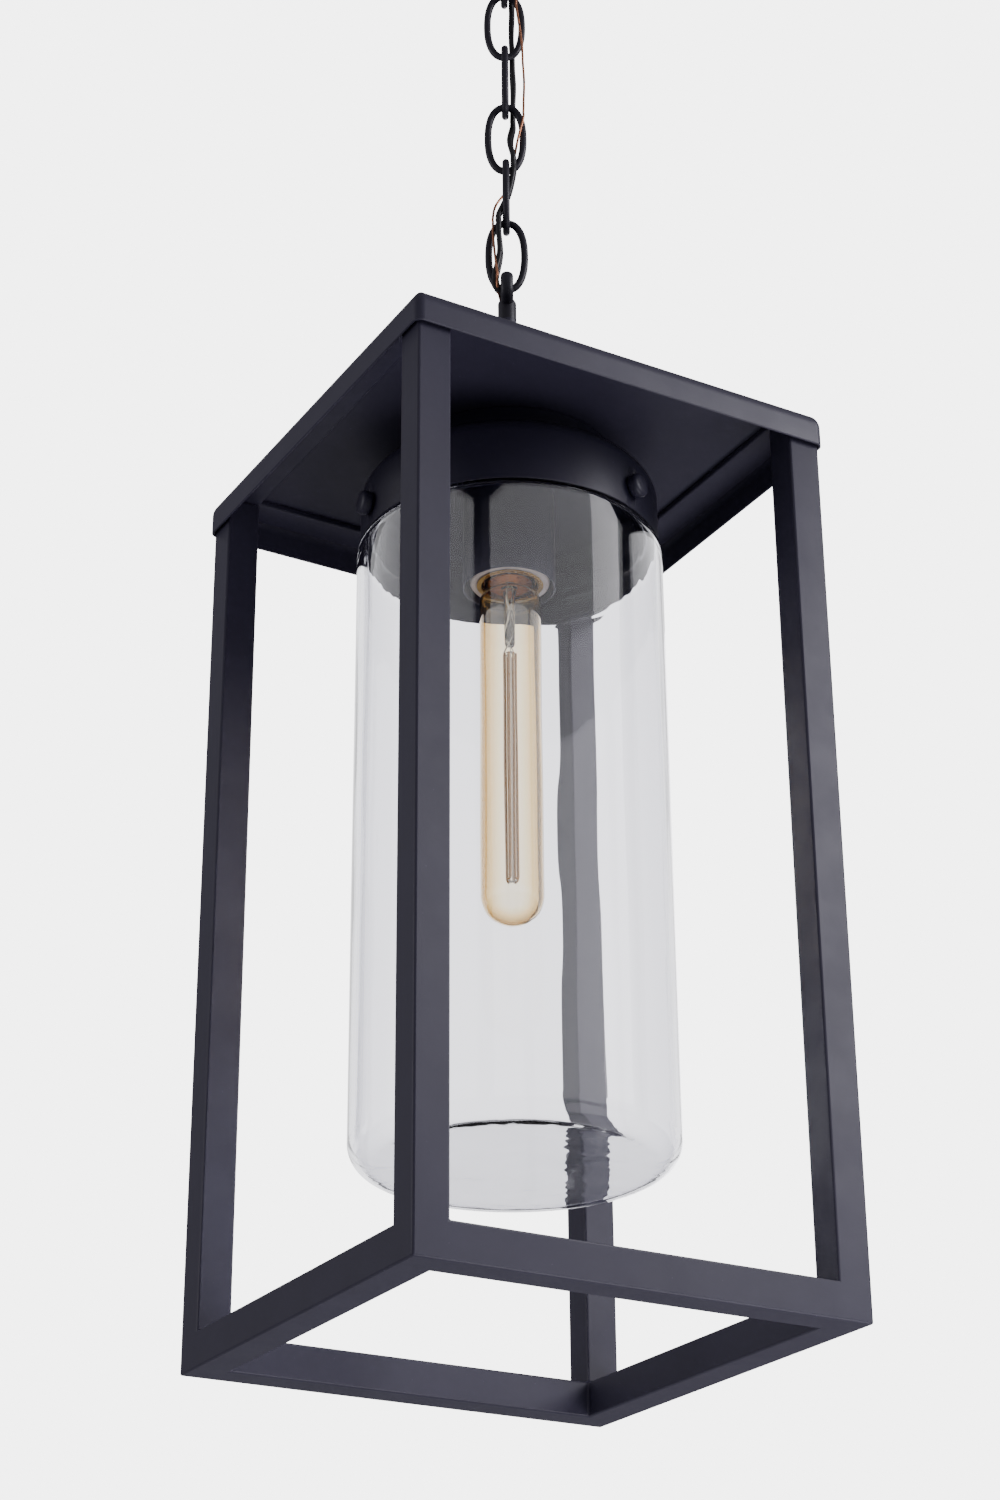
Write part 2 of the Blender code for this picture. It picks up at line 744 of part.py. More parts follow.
def smooth_route(points, step):
    """Points along a smooth curve through a route, about one step apart."""
    nodes = [Vector((x, y, at(h))) for x, y, h in points]
    made = []
    for i in range(len(nodes) - 1):
        before = nodes[max(i - 1, 0)]
        start, end = nodes[i], nodes[i + 1]
        after = nodes[min(i + 2, len(nodes) - 1)]
        pieces = max(1, round((end - start).length / step))
        for k in range(pieces):
            t = k / pieces
            a = start * 2 + (end - before) * t
            b = (before * 2 - start * 5 + end * 4 - after) * t * t
            c = (start * 3 - before - end * 3 + after) * t * t * t
            made.append((a + b + c) / 2)
    made.append(nodes[-1])
    return made


def tube(points, radius, overrun=0.0, sides=8):
    """A round tube along a route, for a channel that a wire runs in."""
    line = smooth_route(points, radius * 2)
    line[-1] += (line[-1] - line[-2]).normalized() * overrun
    line[0] += (line[0] - line[1]).normalized() * overrun
    rings = []
    side = Vector((1, 0, 0))
    for i, point in enumerate(line):
        along = (line[min(i + 1, len(line) - 1)] - line[max(i - 1, 0)]).normalized()
        side = (side - along * side.dot(along)).normalized()
        other = along.cross(side)
        ring = []
        for k in range(sides):
            angle = 2 * math.pi * k / sides
            ring.append(point + side * (radius * math.cos(angle)) + other * (radius * math.sin(angle)))
        rings.append(ring)
    return skin(rings)


def wire_curve(name, route, radius, material, owner, step):
    """A wire as a curve with a round bevel and filled ends."""
    data = bpy.data.curves.new(name, "CURVE")
    data.dimensions = "3D"
    data.bevel_depth = radius
    data.bevel_resolution = 2
    data.use_fill_caps = True
    data.materials.append(material)
    line = smooth_route(route, step)
    spline = data.splines.new("POLY")
    spline.points.add(len(line) - 1)
    shift = pivot_in_owner(owner)
    for point, place in zip(spline.points, line):
        point.co = (*(place - shift), 1)
    made = bpy.data.objects.new(name, data)
    made.parent = owner
    bpy.context.collection.objects.link(made)


def wires():
    for number in range(LINKS + 2):
        pivot = (0, 0, at(link_wire(min(number, LINKS) + 1)))
        owner = body(f"wires_{number}_axis", pivot, CHAIN_TURN)
        insulation = black_insulation()
        wire_curve(f"supply_wires_{number}", supply_route(number), CORD_R, insulation, owner, 0.006)
        wire_curve(f"earth_wire_{number}", earth_route(number), EARTH_R, bare_copper(), owner, 0.004)


# The canopy


def canopy_loop(owner):
    bottom = link_wire(LINKS + 1)
    centre = bottom + LOOP_BEND
    path = []
    steps = 20
    for i in range(steps):
        angle = 2 * math.pi * (i + 0.5) / steps
        path.append((LOOP_BEND * math.cos(angle), centre + LOOP_BEND * math.sin(angle)))
    ring = swept(path, LOOP_WIRE / 2, LOOP_WIRE / 2, closed=True)
    loop = piece("canopy_loop", ring, grey_paint(), owner)
    shank_low = centre + LOOP_BEND - LOOP_WIRE / 2 + 0.0004
    shank_high = COLLAR_HIGH + 0.0090
    shank = [
        (LOOP_SHANK_R - 0.0020, shank_low),
        (LOOP_SHANK_R, shank_low + 0.0020),
        (LOOP_SHANK_R, shank_high),
    ]
    cut(loop, turned(shank, 28, closed=False), owner, join=True)
    bore = [(0.0041, shank_low - 0.004), (0.0041, COLLAR_HIGH), (0.0052, COLLAR_HIGH + 0.0002)]
    bore.append((0.0052, shank_high + 0.002))
    cut(loop, turned(bore, 20, closed=False), owner)


def ceiling_fittings(owner):
    nipple = [
        (0.0038, COLLAR_HIGH + 0.0006),
        (0.0048, COLLAR_HIGH + 0.0006),
        (0.0048, DROP - 0.0002),
        (0.0038, DROP - 0.0002),
    ]
    piece("threaded_nipple", turned(nipple, 20), steel(), owner)
    half_long, half_wide, thick = 0.0500, 0.0090, 0.0018
    bar = piece(
        "mounting_strap",
        block((-half_long, -half_wide, DROP - thick), (half_long, half_wide, DROP)),
        steel(),
        owner,
        smooth=False,
    )
    above, below = DROP + 0.005, DROP - 0.008
    cut(bar, turned([(0.0051, below), (0.0051, above)], 20, closed=False), owner)
    screw_r = 0.0020
    for name, side in (("mounting_screw_left", -1), ("mounting_screw_right", 1)):
        centre = (side * 0.0350, 0)
        hole = turned([(screw_r + GAP, below), (screw_r + GAP, above)], 12, centre, closed=False)
        cut(bar, hole, owner)
        head_high = DROP - thick - GAP
        screw = [
            (0.0026, head_high - 0.0026),
            (0.0040, head_high - 0.0016),
            (0.0040, head_high),
            (screw_r, head_high),
            (screw_r, DROP + 0.0120),
        ]
        piece(name, turned(screw, 16, centre, closed=False), steel(), owner)


def canopy():
    owner = body("canopy_axis", (0, 0, at(CANOPY_LOW)))
    bend = 0.0100
    r, sheet, low, high = CANOPY_R, CANOPY_SHEET, CANOPY_LOW, DROP - 0.0004
    outline = [(LOOP_SHANK_R + 0.0006, low), (r - bend, low)]
    outline += arc(r - bend, low + bend, bend, -75, 0, 4)
    outline += [(r, high), (r - sheet, high)]
    outline += arc(r - bend, low + bend, bend - sheet, 0, -75, 3)
    outline += [(r - bend, low + sheet), (LOOP_SHANK_R + 0.0006, low + sheet)]
    piece("canopy_dish", turned(outline, 32), grey_paint(), owner)
    inner = LOOP_SHANK_R + GAP
    ring = [
        (inner, COLLAR_LOW),
        (inner + 0.0035, COLLAR_LOW),
        (inner + 0.0055, COLLAR_LOW + 0.0020),
        (inner + 0.0055, COLLAR_HIGH - 0.0008),
        (inner + 0.0047, COLLAR_HIGH),
        (inner, COLLAR_HIGH),
    ]
    piece("collar_ring", turned(ring, 24), grey_paint(), owner)


def main():
    for old in list(bpy.data.objects):
        bpy.data.objects.remove(old, do_unlink=True)
    ceiling = body("ceiling_axis", (0, 0, 0), CHAIN_TURN)
    ceiling_fittings(ceiling)
    canopy_loop(ceiling)
    canopy()
    chain()
    wires()
    lantern = body("lantern_axis", (0, 0, at(link_wire(1))))
    hung = body("eye_axis", (0, 0, at(link_wire(1))), CHAIN_TURN)
    posts(lantern)
    bottom_rails(lantern)
    top_frame(lantern)
    roof_cap(lantern)
    stem(lantern)
    hanging_eye(hung)
    holder(lantern)
    lampholder(lantern)
    thumbscrews()
    glass_shade()
    bulb()


main()
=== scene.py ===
# %% [markdown]
# A square lantern of painted steel tube hangs on a short chain. Inside it a clear glass
# tumbler surrounds one long filament bulb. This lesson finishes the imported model: the
# moving parts, sizes and places are settled already, so every cell below only adds form
# and finish to pieces whose size is known.

# %% Load the frame
import math

import bmesh
import bpy
import numpy as np
from mathutils import Matrix, Vector


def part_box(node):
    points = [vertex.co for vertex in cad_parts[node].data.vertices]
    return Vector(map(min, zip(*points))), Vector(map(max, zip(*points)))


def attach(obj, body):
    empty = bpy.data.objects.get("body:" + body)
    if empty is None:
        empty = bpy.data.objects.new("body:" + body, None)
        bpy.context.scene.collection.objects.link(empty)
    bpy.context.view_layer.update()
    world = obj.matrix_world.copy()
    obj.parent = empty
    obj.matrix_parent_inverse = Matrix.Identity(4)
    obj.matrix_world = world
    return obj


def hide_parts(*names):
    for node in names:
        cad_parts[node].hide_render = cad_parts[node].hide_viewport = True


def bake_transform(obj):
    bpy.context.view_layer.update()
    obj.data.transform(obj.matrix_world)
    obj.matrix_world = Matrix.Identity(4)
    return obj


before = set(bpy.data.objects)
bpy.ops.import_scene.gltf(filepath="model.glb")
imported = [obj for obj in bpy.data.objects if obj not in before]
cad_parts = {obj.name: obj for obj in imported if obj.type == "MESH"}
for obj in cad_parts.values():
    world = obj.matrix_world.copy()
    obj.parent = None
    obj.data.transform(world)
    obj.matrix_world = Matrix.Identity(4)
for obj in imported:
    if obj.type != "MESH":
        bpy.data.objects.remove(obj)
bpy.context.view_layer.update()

# %% [markdown]
# All heights are measured from the bottom of the lantern's frame, as a maker would with the
# lantern standing on the bench. The chain's lowest flat link is turned against the frame's
# sides, so the chain and the wires have their own pair of axes: across and away.

# %% Heights and the chain's axes
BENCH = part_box("post_front_left")[0][2]
CEILING = -BENCH
CHAIN_TURN = math.radians(-29.9)
ACROSS = Vector((math.cos(CHAIN_TURN), math.sin(CHAIN_TURN), 0))
AWAY = Vector((-math.sin(CHAIN_TURN), math.cos(CHAIN_TURN), 0))


def at(height):
    """World z of a height above the bottom of the frame."""
    return height + BENCH


def chain_point(across, away, height):
    """World place of a point given in the chain's own axes."""
    return ACROSS * across + AWAY * away + Vector((0, 0, at(height)))


print(f"the lantern hangs {CEILING * 1000:.0f} mm below the ceiling")

# %% [markdown]
# The camera stands below the lantern and looks up at it past one corner, with a long lens
# and almost no roll. Its place is worked out from the frame's bottom and its half width.

# %% Camera
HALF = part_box("post_front_right")[1][0]


def place_camera():
    """A camera from its place and its forward direction, with a small roll."""
    eye = Vector((-5.615 * HALF, -9.677 * HALF, BENCH - 2.795 * HALF))
    forward = Vector((0.4482, 0.7802, 0.4362)).normalized()
    right = forward.cross(Vector((0, 0, 1))).normalized()
    up = right.cross(forward)
    roll = math.radians(-0.42)
    side = right * math.cos(roll) + up * math.sin(roll)
    top = up * math.cos(roll) - right * math.sin(roll)
    data = bpy.data.cameras.new("camera")
    data.sensor_width = 36
    data.lens = 68.85
    made = bpy.data.objects.new("camera", data)
    turn = Matrix((side, top, -forward)).transposed()
    made.matrix_world = Matrix.Translation(eye) @ turn.to_4x4()
    bpy.context.collection.objects.link(made)
    bpy.context.scene.camera = made
    print(f"the camera stands {-eye.y:.2f} m in front of the lantern")


place_camera()

# %% [markdown]
# A material here is a Principled shader with a few textures in front of it. These helpers
# make a new material and join nodes by name, so that each finish below reads as a recipe.

# %% Node helpers


def new_finish(name, colour, roughness, metallic=0.0):
    """A new material with its Principled shader's plain values set."""
    made = bpy.data.materials.new(name)
    made.use_nodes = True
    shader = made.node_tree.nodes["Principled BSDF"]
    shader.inputs["Base Color"].default_value = (*colour, 1)
    shader.inputs["Roughness"].default_value = roughness
    shader.inputs["Metallic"].default_value = metallic
    return made, shader


def add_node(material, kind, **values):
    """A node with some of its inputs set; an input's name is written with underscores."""
    node = material.node_tree.nodes.new(kind)
    for key, value in values.items():
        node.inputs[key.replace("_", " ")].default_value = value
    return node


def wire(material, source, target):
    """Joins one node's output to another's input."""
    material.node_tree.links.new(source, target)


def object_space(material, stretch=(1, 1, 1)):
    """Object coordinates, squeezed or stretched along the axes."""
    coordinates = material.node_tree.nodes.new("ShaderNodeTexCoord")
    mapping = add_node(material, "ShaderNodeMapping", Scale=stretch)
    wire(material, coordinates.outputs["Object"], mapping.inputs["Vector"])
    return mapping.outputs["Vector"]


def grain(material, where, scale, detail, roughness=0.55):
    """A noise texture's grey value."""
    noise = add_node(material, "ShaderNodeTexNoise", Scale=scale, Detail=detail, Roughness=roughness)
    wire(material, where, noise.inputs["Vector"])
    return noise.outputs["Fac"]


def ramp(material, fac, stops):
    """A colour ramp; stops are (place, colour)."""
    node = material.node_tree.nodes.new("ShaderNodeValToRGB")
    elements = node.color_ramp.elements
    while len(elements) < len(stops):
        elements.new(0.5)
    for element, (place, colour) in zip(elements, stops):
        element.position = place
        element.color = (*colour, 1)
    wire(material, fac, node.inputs["Fac"])
    return node.outputs["Color"]


def between(material, fac, low, high, start=0.0, end=1.0):
    """A grey value carried from one range to another."""
    node = add_node(
        material,
        "ShaderNodeMapRange",
        **{"From_Min": start, "From_Max": end, "To_Min": low, "To_Max": high},
    )
    wire(material, fac, node.inputs["Value"])
    return node.outputs["Result"]


def bumps(material, shader, height, strength, distance):
    """Relief from a grey value, without moving the mesh."""
    node = add_node(material, "ShaderNodeBump", Strength=strength, Distance=distance)
    wire(material, height, node.inputs["Height"])
    wire(material, node.outputs["Normal"], shader.inputs["Normal"])


# %% [markdown]
# The steel is powder coated: a grey with a little violet in it, satin, with the fine orange
# peel that baked powder leaves. A broad noise shifts the shade a little, a fine one makes
# the peel, and rare light specks stand for dust and rubbed grains.

# %% Powder coat


def powder_coat(name, shade, roughness):
    """Satin paint with a shifting shade, rare light specks and a fine orange peel."""
    material, shader = new_finish(name, shade, roughness)
    where = object_space(material)
    lighter = tuple(channel * 1.07 for channel in shade)
    darker = tuple(channel * 0.94 for channel in shade)
    speck = tuple(channel * 2.0 + 0.01 for channel in shade)
    broad = grain(material, where, 35.0, 5.0)
    tone = ramp(material, broad, ((0.32, darker), (0.68, lighter)))
    specks = grain(material, where, 900.0, 2.0, 0.4)
    shown = between(material, specks, 0.0, 1.0, 0.735, 0.80)
    blend = material.node_tree.nodes.new("ShaderNodeMix")
    blend.data_type = "RGBA"
    wire(material, shown, blend.inputs[0])
    wire(material, tone, blend.inputs[6])
    blend.inputs[7].default_value = (*speck, 1)
    wire(material, blend.outputs[2], shader.inputs["Base Color"])
    patchy = grain(material, where, 60.0, 3.0)
    spread = between(material, patchy, roughness - 0.02, roughness + 0.04, 0.3, 0.7)
    wire(material, spread, shader.inputs["Roughness"])
    peel = grain(material, where, 1500.0, 2.0, 0.5)
    bumps(material, shader, peel, 0.10, 0.0001)
    return material


FRAME_PAINT = powder_coat("frame_powder_coat", (0.037, 0.0340, 0.060), 0.46)
# The fitter's paint is the frame's powder coat made darker: painted shade for the roof's shadow on the
# fitter, the drum and the thumbscrews.
ROOF_SHADED_FITTER_PAINT = powder_coat("fitter_coat_painted_shade", (0.016, 0.0142, 0.032), 0.44)
CHAIN_PAINT = powder_coat("chain_powder_coat", (0.020, 0.0185, 0.028), 0.42)
print("paints:", FRAME_PAINT.name, ROOF_SHADED_FITTER_PAINT.name, CHAIN_PAINT.name)

# %% [markdown]
# Bright metals differ mostly in colour and in how the surface was worked. Brass is turned
# and a little tarnished, zinc plate has a soft crystalline mottling, and the copper wire
# is drawn. Each gets a mottled colour and an uneven roughness.

# %% Bright metals


def worked_metal(name, dark, light, roughness, scale, stretch=(1, 1, 1)):
    """Bare metal, mottled between two colours and unevenly rough."""
    material, shader = new_finish(name, light, roughness, 1.0)
    where = object_space(material, stretch)
    mottling = grain(material, where, scale, 5.0)
    wire(material, ramp(material, mottling, ((0.3, dark), (0.7, light))), shader.inputs["Base Color"])
    spread = between(material, mottling, roughness * 0.7, roughness * 1.35, 0.3, 0.7)
    wire(material, spread, shader.inputs["Roughness"])
    bumps(material, shader, grain(material, where, scale * 12, 2.0), 0.12, 0.0002)
    return material


BRASS = worked_metal("aged_brass", (0.48, 0.27, 0.06), (0.80, 0.52, 0.17), 0.26, 120.0, (1, 1, 5))
ZINC = worked_metal("zinc_plate", (0.42, 0.42, 0.44), (0.66, 0.66, 0.67), 0.32, 300.0)
COPPER = worked_metal("drawn_copper", (0.52, 0.20, 0.10), (0.80, 0.40, 0.24), 0.34, 500.0)
TUNGSTEN = worked_metal("filament_wire", (0.42, 0.20, 0.03), (0.78, 0.46, 0.10), 0.6, 900.0)
print("metals:", BRASS.name, ZINC.name, COPPER.name, TUNGSTEN.name)

# %% [markdown]
# Porcelain is a white body under a clear glaze, so it has a coat. The insulation is a matt
# black plastic with faint drawing marks, and the screws' soft tips are nylon.

# %% Porcelain and plastics


def coated_ceramic():
    """White porcelain under a clear glaze."""
    material, shader = new_finish("porcelain", (0.74, 0.66, 0.60), 0.35)
    where = object_space(material)
    tone = grain(material, where, 90.0, 4.0)
    stops = ((0.3, (0.66, 0.58, 0.52)), (0.7, (0.80, 0.73, 0.67)))
    wire(material, ramp(material, tone, stops), shader.inputs["Base Color"])
    shader.inputs["Coat Weight"].default_value = 0.8
    shader.inputs["Coat Roughness"].default_value = 0.08
    bumps(material, shader, grain(material, where, 400.0, 2.0), 0.10, 0.0003)
    return material


def moulded_plastic(name, dark, light, roughness, scale):
    """Matt plastic, mottled between two shades."""
    material, shader = new_finish(name, light, roughness)
    where = object_space(material)
    tone = grain(material, where, scale, 4.0)
    wire(material, ramp(material, tone, ((0.3, dark), (0.7, light))), shader.inputs["Base Color"])
    wire(material, between(material, tone, roughness - 0.08, roughness + 0.1), shader.inputs["Roughness"])
    bumps(material, shader, grain(material, where, scale * 8, 2.0), 0.15, 0.0002)
    return material


PORCELAIN = coated_ceramic()
INSULATION = moulded_plastic("black_insulation", (0.010, 0.010, 0.011), (0.022, 0.022, 0.024), 0.42, 260.0)
NYLON = moulded_plastic("nylon_tip", (0.56, 0.55, 0.50), (0.70, 0.69, 0.64), 0.45, 400.0)
print("moulded:", PORCELAIN.name, INSULATION.name, NYLON.name)

# %% [markdown]
# The tumbler is moulded by hand, so its wall waves a little and draws soft upright streaks
# through whatever stands behind it. The streaks come from a noise stretched along Z; the
# bulb's glass is smoother and has a warm champagne tint.

# %% Glass


def let_lamps_through(material, shader, tint):
    """Gives rays from lamps a clear way through the glass, so that what is inside is lit."""
    path = material.node_tree.nodes.new("ShaderNodeLightPath")
    clear = add_node(material, "ShaderNodeBsdfTransparent", Color=(*tint, 1))
    mix = material.node_tree.nodes.new("ShaderNodeMixShader")
    wire(material, path.outputs["Is Shadow Ray"], mix.inputs["Fac"])
    wire(material, shader.outputs["BSDF"], mix.inputs[1])
    wire(material, clear.outputs["BSDF"], mix.inputs[2])
    wire(material, mix.outputs["Shader"], material.node_tree.nodes["Material Output"].inputs["Surface"])


def window_glass(name, tint, waviness, ior=1.45, stops=()):
    """Clear glass; the stops tint it more where its wall is seen edge-on."""
    material, shader = new_finish(name, tint, 0.0)
    shader.inputs["Transmission Weight"].default_value = 1.0
    shader.inputs["IOR"].default_value = ior
    if waviness:
        streaks = grain(material, object_space(material, (1, 1, 0.10)), 26.0, 3.0, 0.45)
        bumps(material, shader, streaks, waviness, 0.0015)
    if stops:
        facing = add_node(material, "ShaderNodeLayerWeight", Blend=0.5)
        wire(material, ramp(material, facing.outputs["Facing"], stops), shader.inputs["Base Color"])
    let_lamps_through(material, shader, tint)
    return material


TUMBLER_STOPS = ((0.25, (0.955, 0.955, 0.975)), (0.85, (0.76, 0.76, 0.81)))
CHAMPAGNE_STOPS = ((0.04, (0.96, 0.92, 0.80)), (0.28, (0.84, 0.68, 0.40)), (0.62, (0.50, 0.32, 0.11)))
SHADE_GLASS = window_glass("tumbler_glass", (0.955, 0.955, 0.975), 0.6, 1.32, TUMBLER_STOPS)
BULB_GLASS = window_glass("champagne_glass", (0.96, 0.91, 0.80), 0.10, 1.45, CHAMPAGNE_STOPS)
STEM_GLASS = window_glass("lead_glass", (0.97, 0.97, 0.96), 0.3)
print("glass:", SHADE_GLASS.name, BULB_GLASS.name, STEM_GLASS.name)

# %% [markdown]
# Most pieces of a lantern are turned, spun or bent from simple sections. Two helpers cover
# them. One skins a closed mesh over rings of points, the other makes those rings by
# turning an outline about the hanging axis. An outline that meets the axis gets poles.

# %% Mesh helpers


def finished(name, mesh_data, material, sharp=35):
    """A piece at the origin with its place in its mesh, shaded smooth up to an angle."""
    bmesh.ops.remove_doubles(mesh_data, verts=mesh_data.verts, dist=1e-6)
    bmesh.ops.recalc_face_normals(mesh_data, faces=mesh_data.faces)
    mesh = bpy.data.meshes.new(name)
    mesh_data.to_mesh(mesh)
    mesh_data.free()
    mesh.materials.append(material)
    mesh.shade_smooth()
    mesh.set_sharp_from_angle(angle=math.radians(sharp))
    made = bpy.data.objects.new(name, mesh)
    bpy.context.collection.objects.link(made)
    return made


def stand_for(piece, body, *nodes):
    """Lets a finished piece ride on a body in place of the plain nodes."""
    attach(piece, body)
    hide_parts(*nodes)
    return piece


def skin(rings, closed=False):
    """A mesh over rings of equal length, with end caps or with the last joined to the first."""
    made = bmesh.new()
    rows = [[made.verts.new(point) for point in ring] for ring in rings]
    pairs = list(zip(rows, rows[1:]))
    if closed:
        pairs.append((rows[-1], rows[0]))
    for low, high in pairs:
        for i in range(len(low)):
            j = (i + 1) % len(low)
            made.faces.new((low[i], low[j], high[j], high[i]))
    if not closed:
        made.faces.new(reversed(rows[0]))
        made.faces.new(rows[-1])
    return made


STEADY_MIDDLE = 0.01


def turned(outline, steps=96, closed=True, ripple=None):
    """A solid of revolution about the hanging axis, from points (radius, height).

    A ripple moves the wall in and out; the middle of a base stays steady.
    """
    rings = []
    for radius, height in outline:
        ring = []
        for i in range(steps):
            angle = 2 * math.pi * i / steps
            r = radius + (ripple(angle, height) if ripple and radius > STEADY_MIDDLE else 0)
            ring.append((r * math.cos(angle), r * math.sin(angle), at(height)))
        rings.append(ring)
    return skin(rings, closed)


def arc(centre_r, centre_z, radius, start, end, steps):
    """Points of an outline round a centre, between two angles in degrees."""
    turns = [math.radians(start + (end - start) * i / steps) for i in range(steps + 1)]
    return [(centre_r + radius * math.cos(t), centre_z + radius * math.sin(t)) for t in turns]


# %% [markdown]
# The cage is square tube, welded and ground flush, so no seam shows between a post and a
# rail. It is built as one mesh on a small grid: the base ring first, then a post on each
# corner, drawn in a little at its top, where the roof's edge bends inwards. A bevel then rolls
# every edge, and in the inner corners it makes the weld's fillet.

# %% Posts and rails
POST_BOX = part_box("post_front_left")
TUBE = POST_BOX[1][0] - POST_BOX[0][0]
POST_HIGH = POST_BOX[1][2] - BENCH
ROLLED = 0.0010
SHOULDER = 0.4385
DRAWN_IN = 0.0032


def rolled_square(half, corner, steps=4):
    """A square section with rolled corners, counter-clockwise from its right side."""
    points = []
    for turn, (sx, sy) in enumerate(((1, 1), (-1, 1), (-1, -1), (1, -1))):
        for i in range(steps + 1):
            angle = math.radians(90 * (turn + i / steps))
            x = sx * (half - corner) + corner * math.cos(angle)
            y = sy * (half - corner) + corner * math.sin(angle)
            points.append((x, y))
    return points


def welded_cage():
    """The base ring and its four posts as one mesh, with soft corners and filled joints."""
    grid = (-HALF, -HALF + TUBE, HALF - TUBE, HALF)
    made = bmesh.new()
    verts = {}

    def vert(i, j, height, draw=0.0):
        key = (i, j, height)
        if key not in verts:
            x = grid[i] - math.copysign(draw if i in (0, 3) else 0.0, grid[i])
            y = grid[j] - math.copysign(draw if j in (0, 3) else 0.0, grid[j])
            verts[key] = made.verts.new((x, y, at(height)))
        return verts[key]

    def wall(a, b, low, high, draw=0.0):
        made.faces.new((vert(*a, low), vert(*b, low), vert(*b, high, draw), vert(*a, high, draw)))

    ring = [(i, j) for i in range(3) for j in range(3) if (i, j) != (1, 1)]
    posts = [(0, 0), (0, 2), (2, 0), (2, 2)]
    for i, j in ring:
        made.faces.new([vert(a, b, 0.0) for a, b in ((i, j), (i, j + 1), (i + 1, j + 1), (i + 1, j))])
        if (i, j) not in posts:
            corners = ((i, j), (i + 1, j), (i + 1, j + 1), (i, j + 1))
            made.faces.new([vert(a, b, TUBE) for a, b in corners])
    for k in range(3):
        wall((k, 0), (k + 1, 0), 0.0, TUBE)
        wall((k + 1, 3), (k, 3), 0.0, TUBE)
        wall((0, k + 1), (0, k), 0.0, TUBE)
        wall((3, k), (3, k + 1), 0.0, TUBE)
    wall((2, 1), (1, 1), 0.0, TUBE)
    wall((1, 2), (2, 2), 0.0, TUBE)
    wall((1, 1), (1, 2), 0.0, TUBE)
    wall((2, 2), (2, 1), 0.0, TUBE)
    for i, j in posts:
        corners = ((i, j), (i + 1, j), (i + 1, j + 1), (i, j + 1))
        for a, b in zip(corners, corners[1:] + corners[:1]):
            wall(a, b, TUBE, SHOULDER)
            wall(a, b, SHOULDER, POST_HIGH, DRAWN_IN)
        made.faces.new([vert(a, b, POST_HIGH, DRAWN_IN) for a, b in corners])
    return made


def rounded(piece, width, segments=3, angle=40):
    """A live bevel on a piece's sharp edges."""
    soft = piece.modifiers.new("soft_edges", "BEVEL")
    soft.width = width
    soft.segments = segments
    soft.limit_method = "ANGLE"
    soft.angle_limit = math.radians(angle)
    return piece


cage = rounded(finished("cage", welded_cage(), FRAME_PAINT, 50), ROLLED)
members = [f"post_{end}_{side}" for end in ("front", "back") for side in ("left", "right")]
members += [f"bottom_rail_{side}" for side in ("front", "right", "back", "left")]
stand_for(cage, "lantern", *members)
print(f"tube {TUBE * 1000:.1f} mm square, posts {POST_HIGH * 1000:.0f} mm tall")

# %% [markdown]
# The roof is a shallow pan pressed from one sheet: a flat top, a generous bend, and a lip
# turned down over the posts. Under it a ring of flat bar stiffens the edge and shows as a
# border with a soft step. Both are rings of rounded squares, as a turned piece is a
# stack of circles.

# %% Roof pan and its stiffening ring
ROOF_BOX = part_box("roof_cap")
ROOF_HALF = ROOF_BOX[1][0]
ROOF_TOP = ROOF_BOX[1][2] - BENCH
ROOF_LIP = ROOF_BOX[0][2] - BENCH
SHEET = 0.0012
ROOF_FLAT = 0.03
RING_BAR = 0.0172


def rounded_ring(half, corner, height, steps=8):
    """A level ring with the outline of a rounded square."""
    return [(x, y, at(height)) for x, y in rolled_square(half, corner, steps)]


def roof_pan():
    """The pressed pan, from a section that runs over its top and back under it."""
    bend, corner, smallest = 0.0085, 0.0045, 0.0008
    centre_r, centre_z = ROOF_HALF - bend, ROOF_TOP - bend
    outline = [(ROOF_HALF - 0.0004, ROOF_LIP), (ROOF_HALF, ROOF_LIP + 0.0004)]
    outline += arc(centre_r, centre_z, bend, 0, 90, 12)
    outline += [(ROOF_FLAT, ROOF_TOP), (ROOF_FLAT, ROOF_TOP - SHEET)]
    outline += arc(centre_r, centre_z, bend - SHEET, 90, 0, 10)
    outline += [(ROOF_HALF - SHEET, ROOF_LIP + 0.0003), (ROOF_HALF - SHEET + 0.0003, ROOF_LIP)]
    rings = []
    for half, height in outline:
        rings.append(rounded_ring(half, max(corner - (ROOF_HALF - half), smallest), height))
    made = bmesh.new()
    rows = [[made.verts.new(point) for point in ring] for ring in rings]
    middle_top = next(i for i, (half, _) in enumerate(outline) if half == ROOF_FLAT)
    for index in range(len(rows)):
        if index == middle_top:
            continue
        low, high = rows[index], rows[(index + 1) % len(rows)]
        for i in range(len(low)):
            j = (i + 1) % len(low)
            made.faces.new((low[i], low[j], high[j], high[i]))
    made.faces.new(rows[middle_top])
    made.faces.new(reversed(rows[middle_top + 1]))
    return finished("roof_cap", made, FRAME_PAINT, 40)


def stiffening_ring():
    """The flat bar under the roof, soft along its inner lower edge."""
    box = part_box("top_frame")
    low, high = box[0][2] - BENCH, box[1][2] - BENCH
    inside = HALF - RING_BAR
    soft = 0.0012
    section = [(HALF - 0.0012, low), (HALF - 0.0058, high), (inside, high)]
    section += arc(inside + soft, low + soft, soft, 180, 270, 5)
    rings = [rounded_ring(half, 0.0008, height, 2) for half, height in section]
    return finished("top_frame", skin(rings, closed=True), FRAME_PAINT, 40)


stand_for(roof_pan(), "lantern", "roof_cap")
stand_for(stiffening_ring(), "lantern", "top_frame")
print(f"roof {ROOF_HALF * 2000:.0f} mm square, {(ROOF_TOP - ROOF_LIP) * 1000:.1f} mm deep")

# %% [markdown]
# The stem is a plain round tube. The cast eye on top of it is a flattened ring with a neck.
# The ring is an oval path swept with an oval section, which is what a casting looks like
# once its sharp edges have been fettled off.

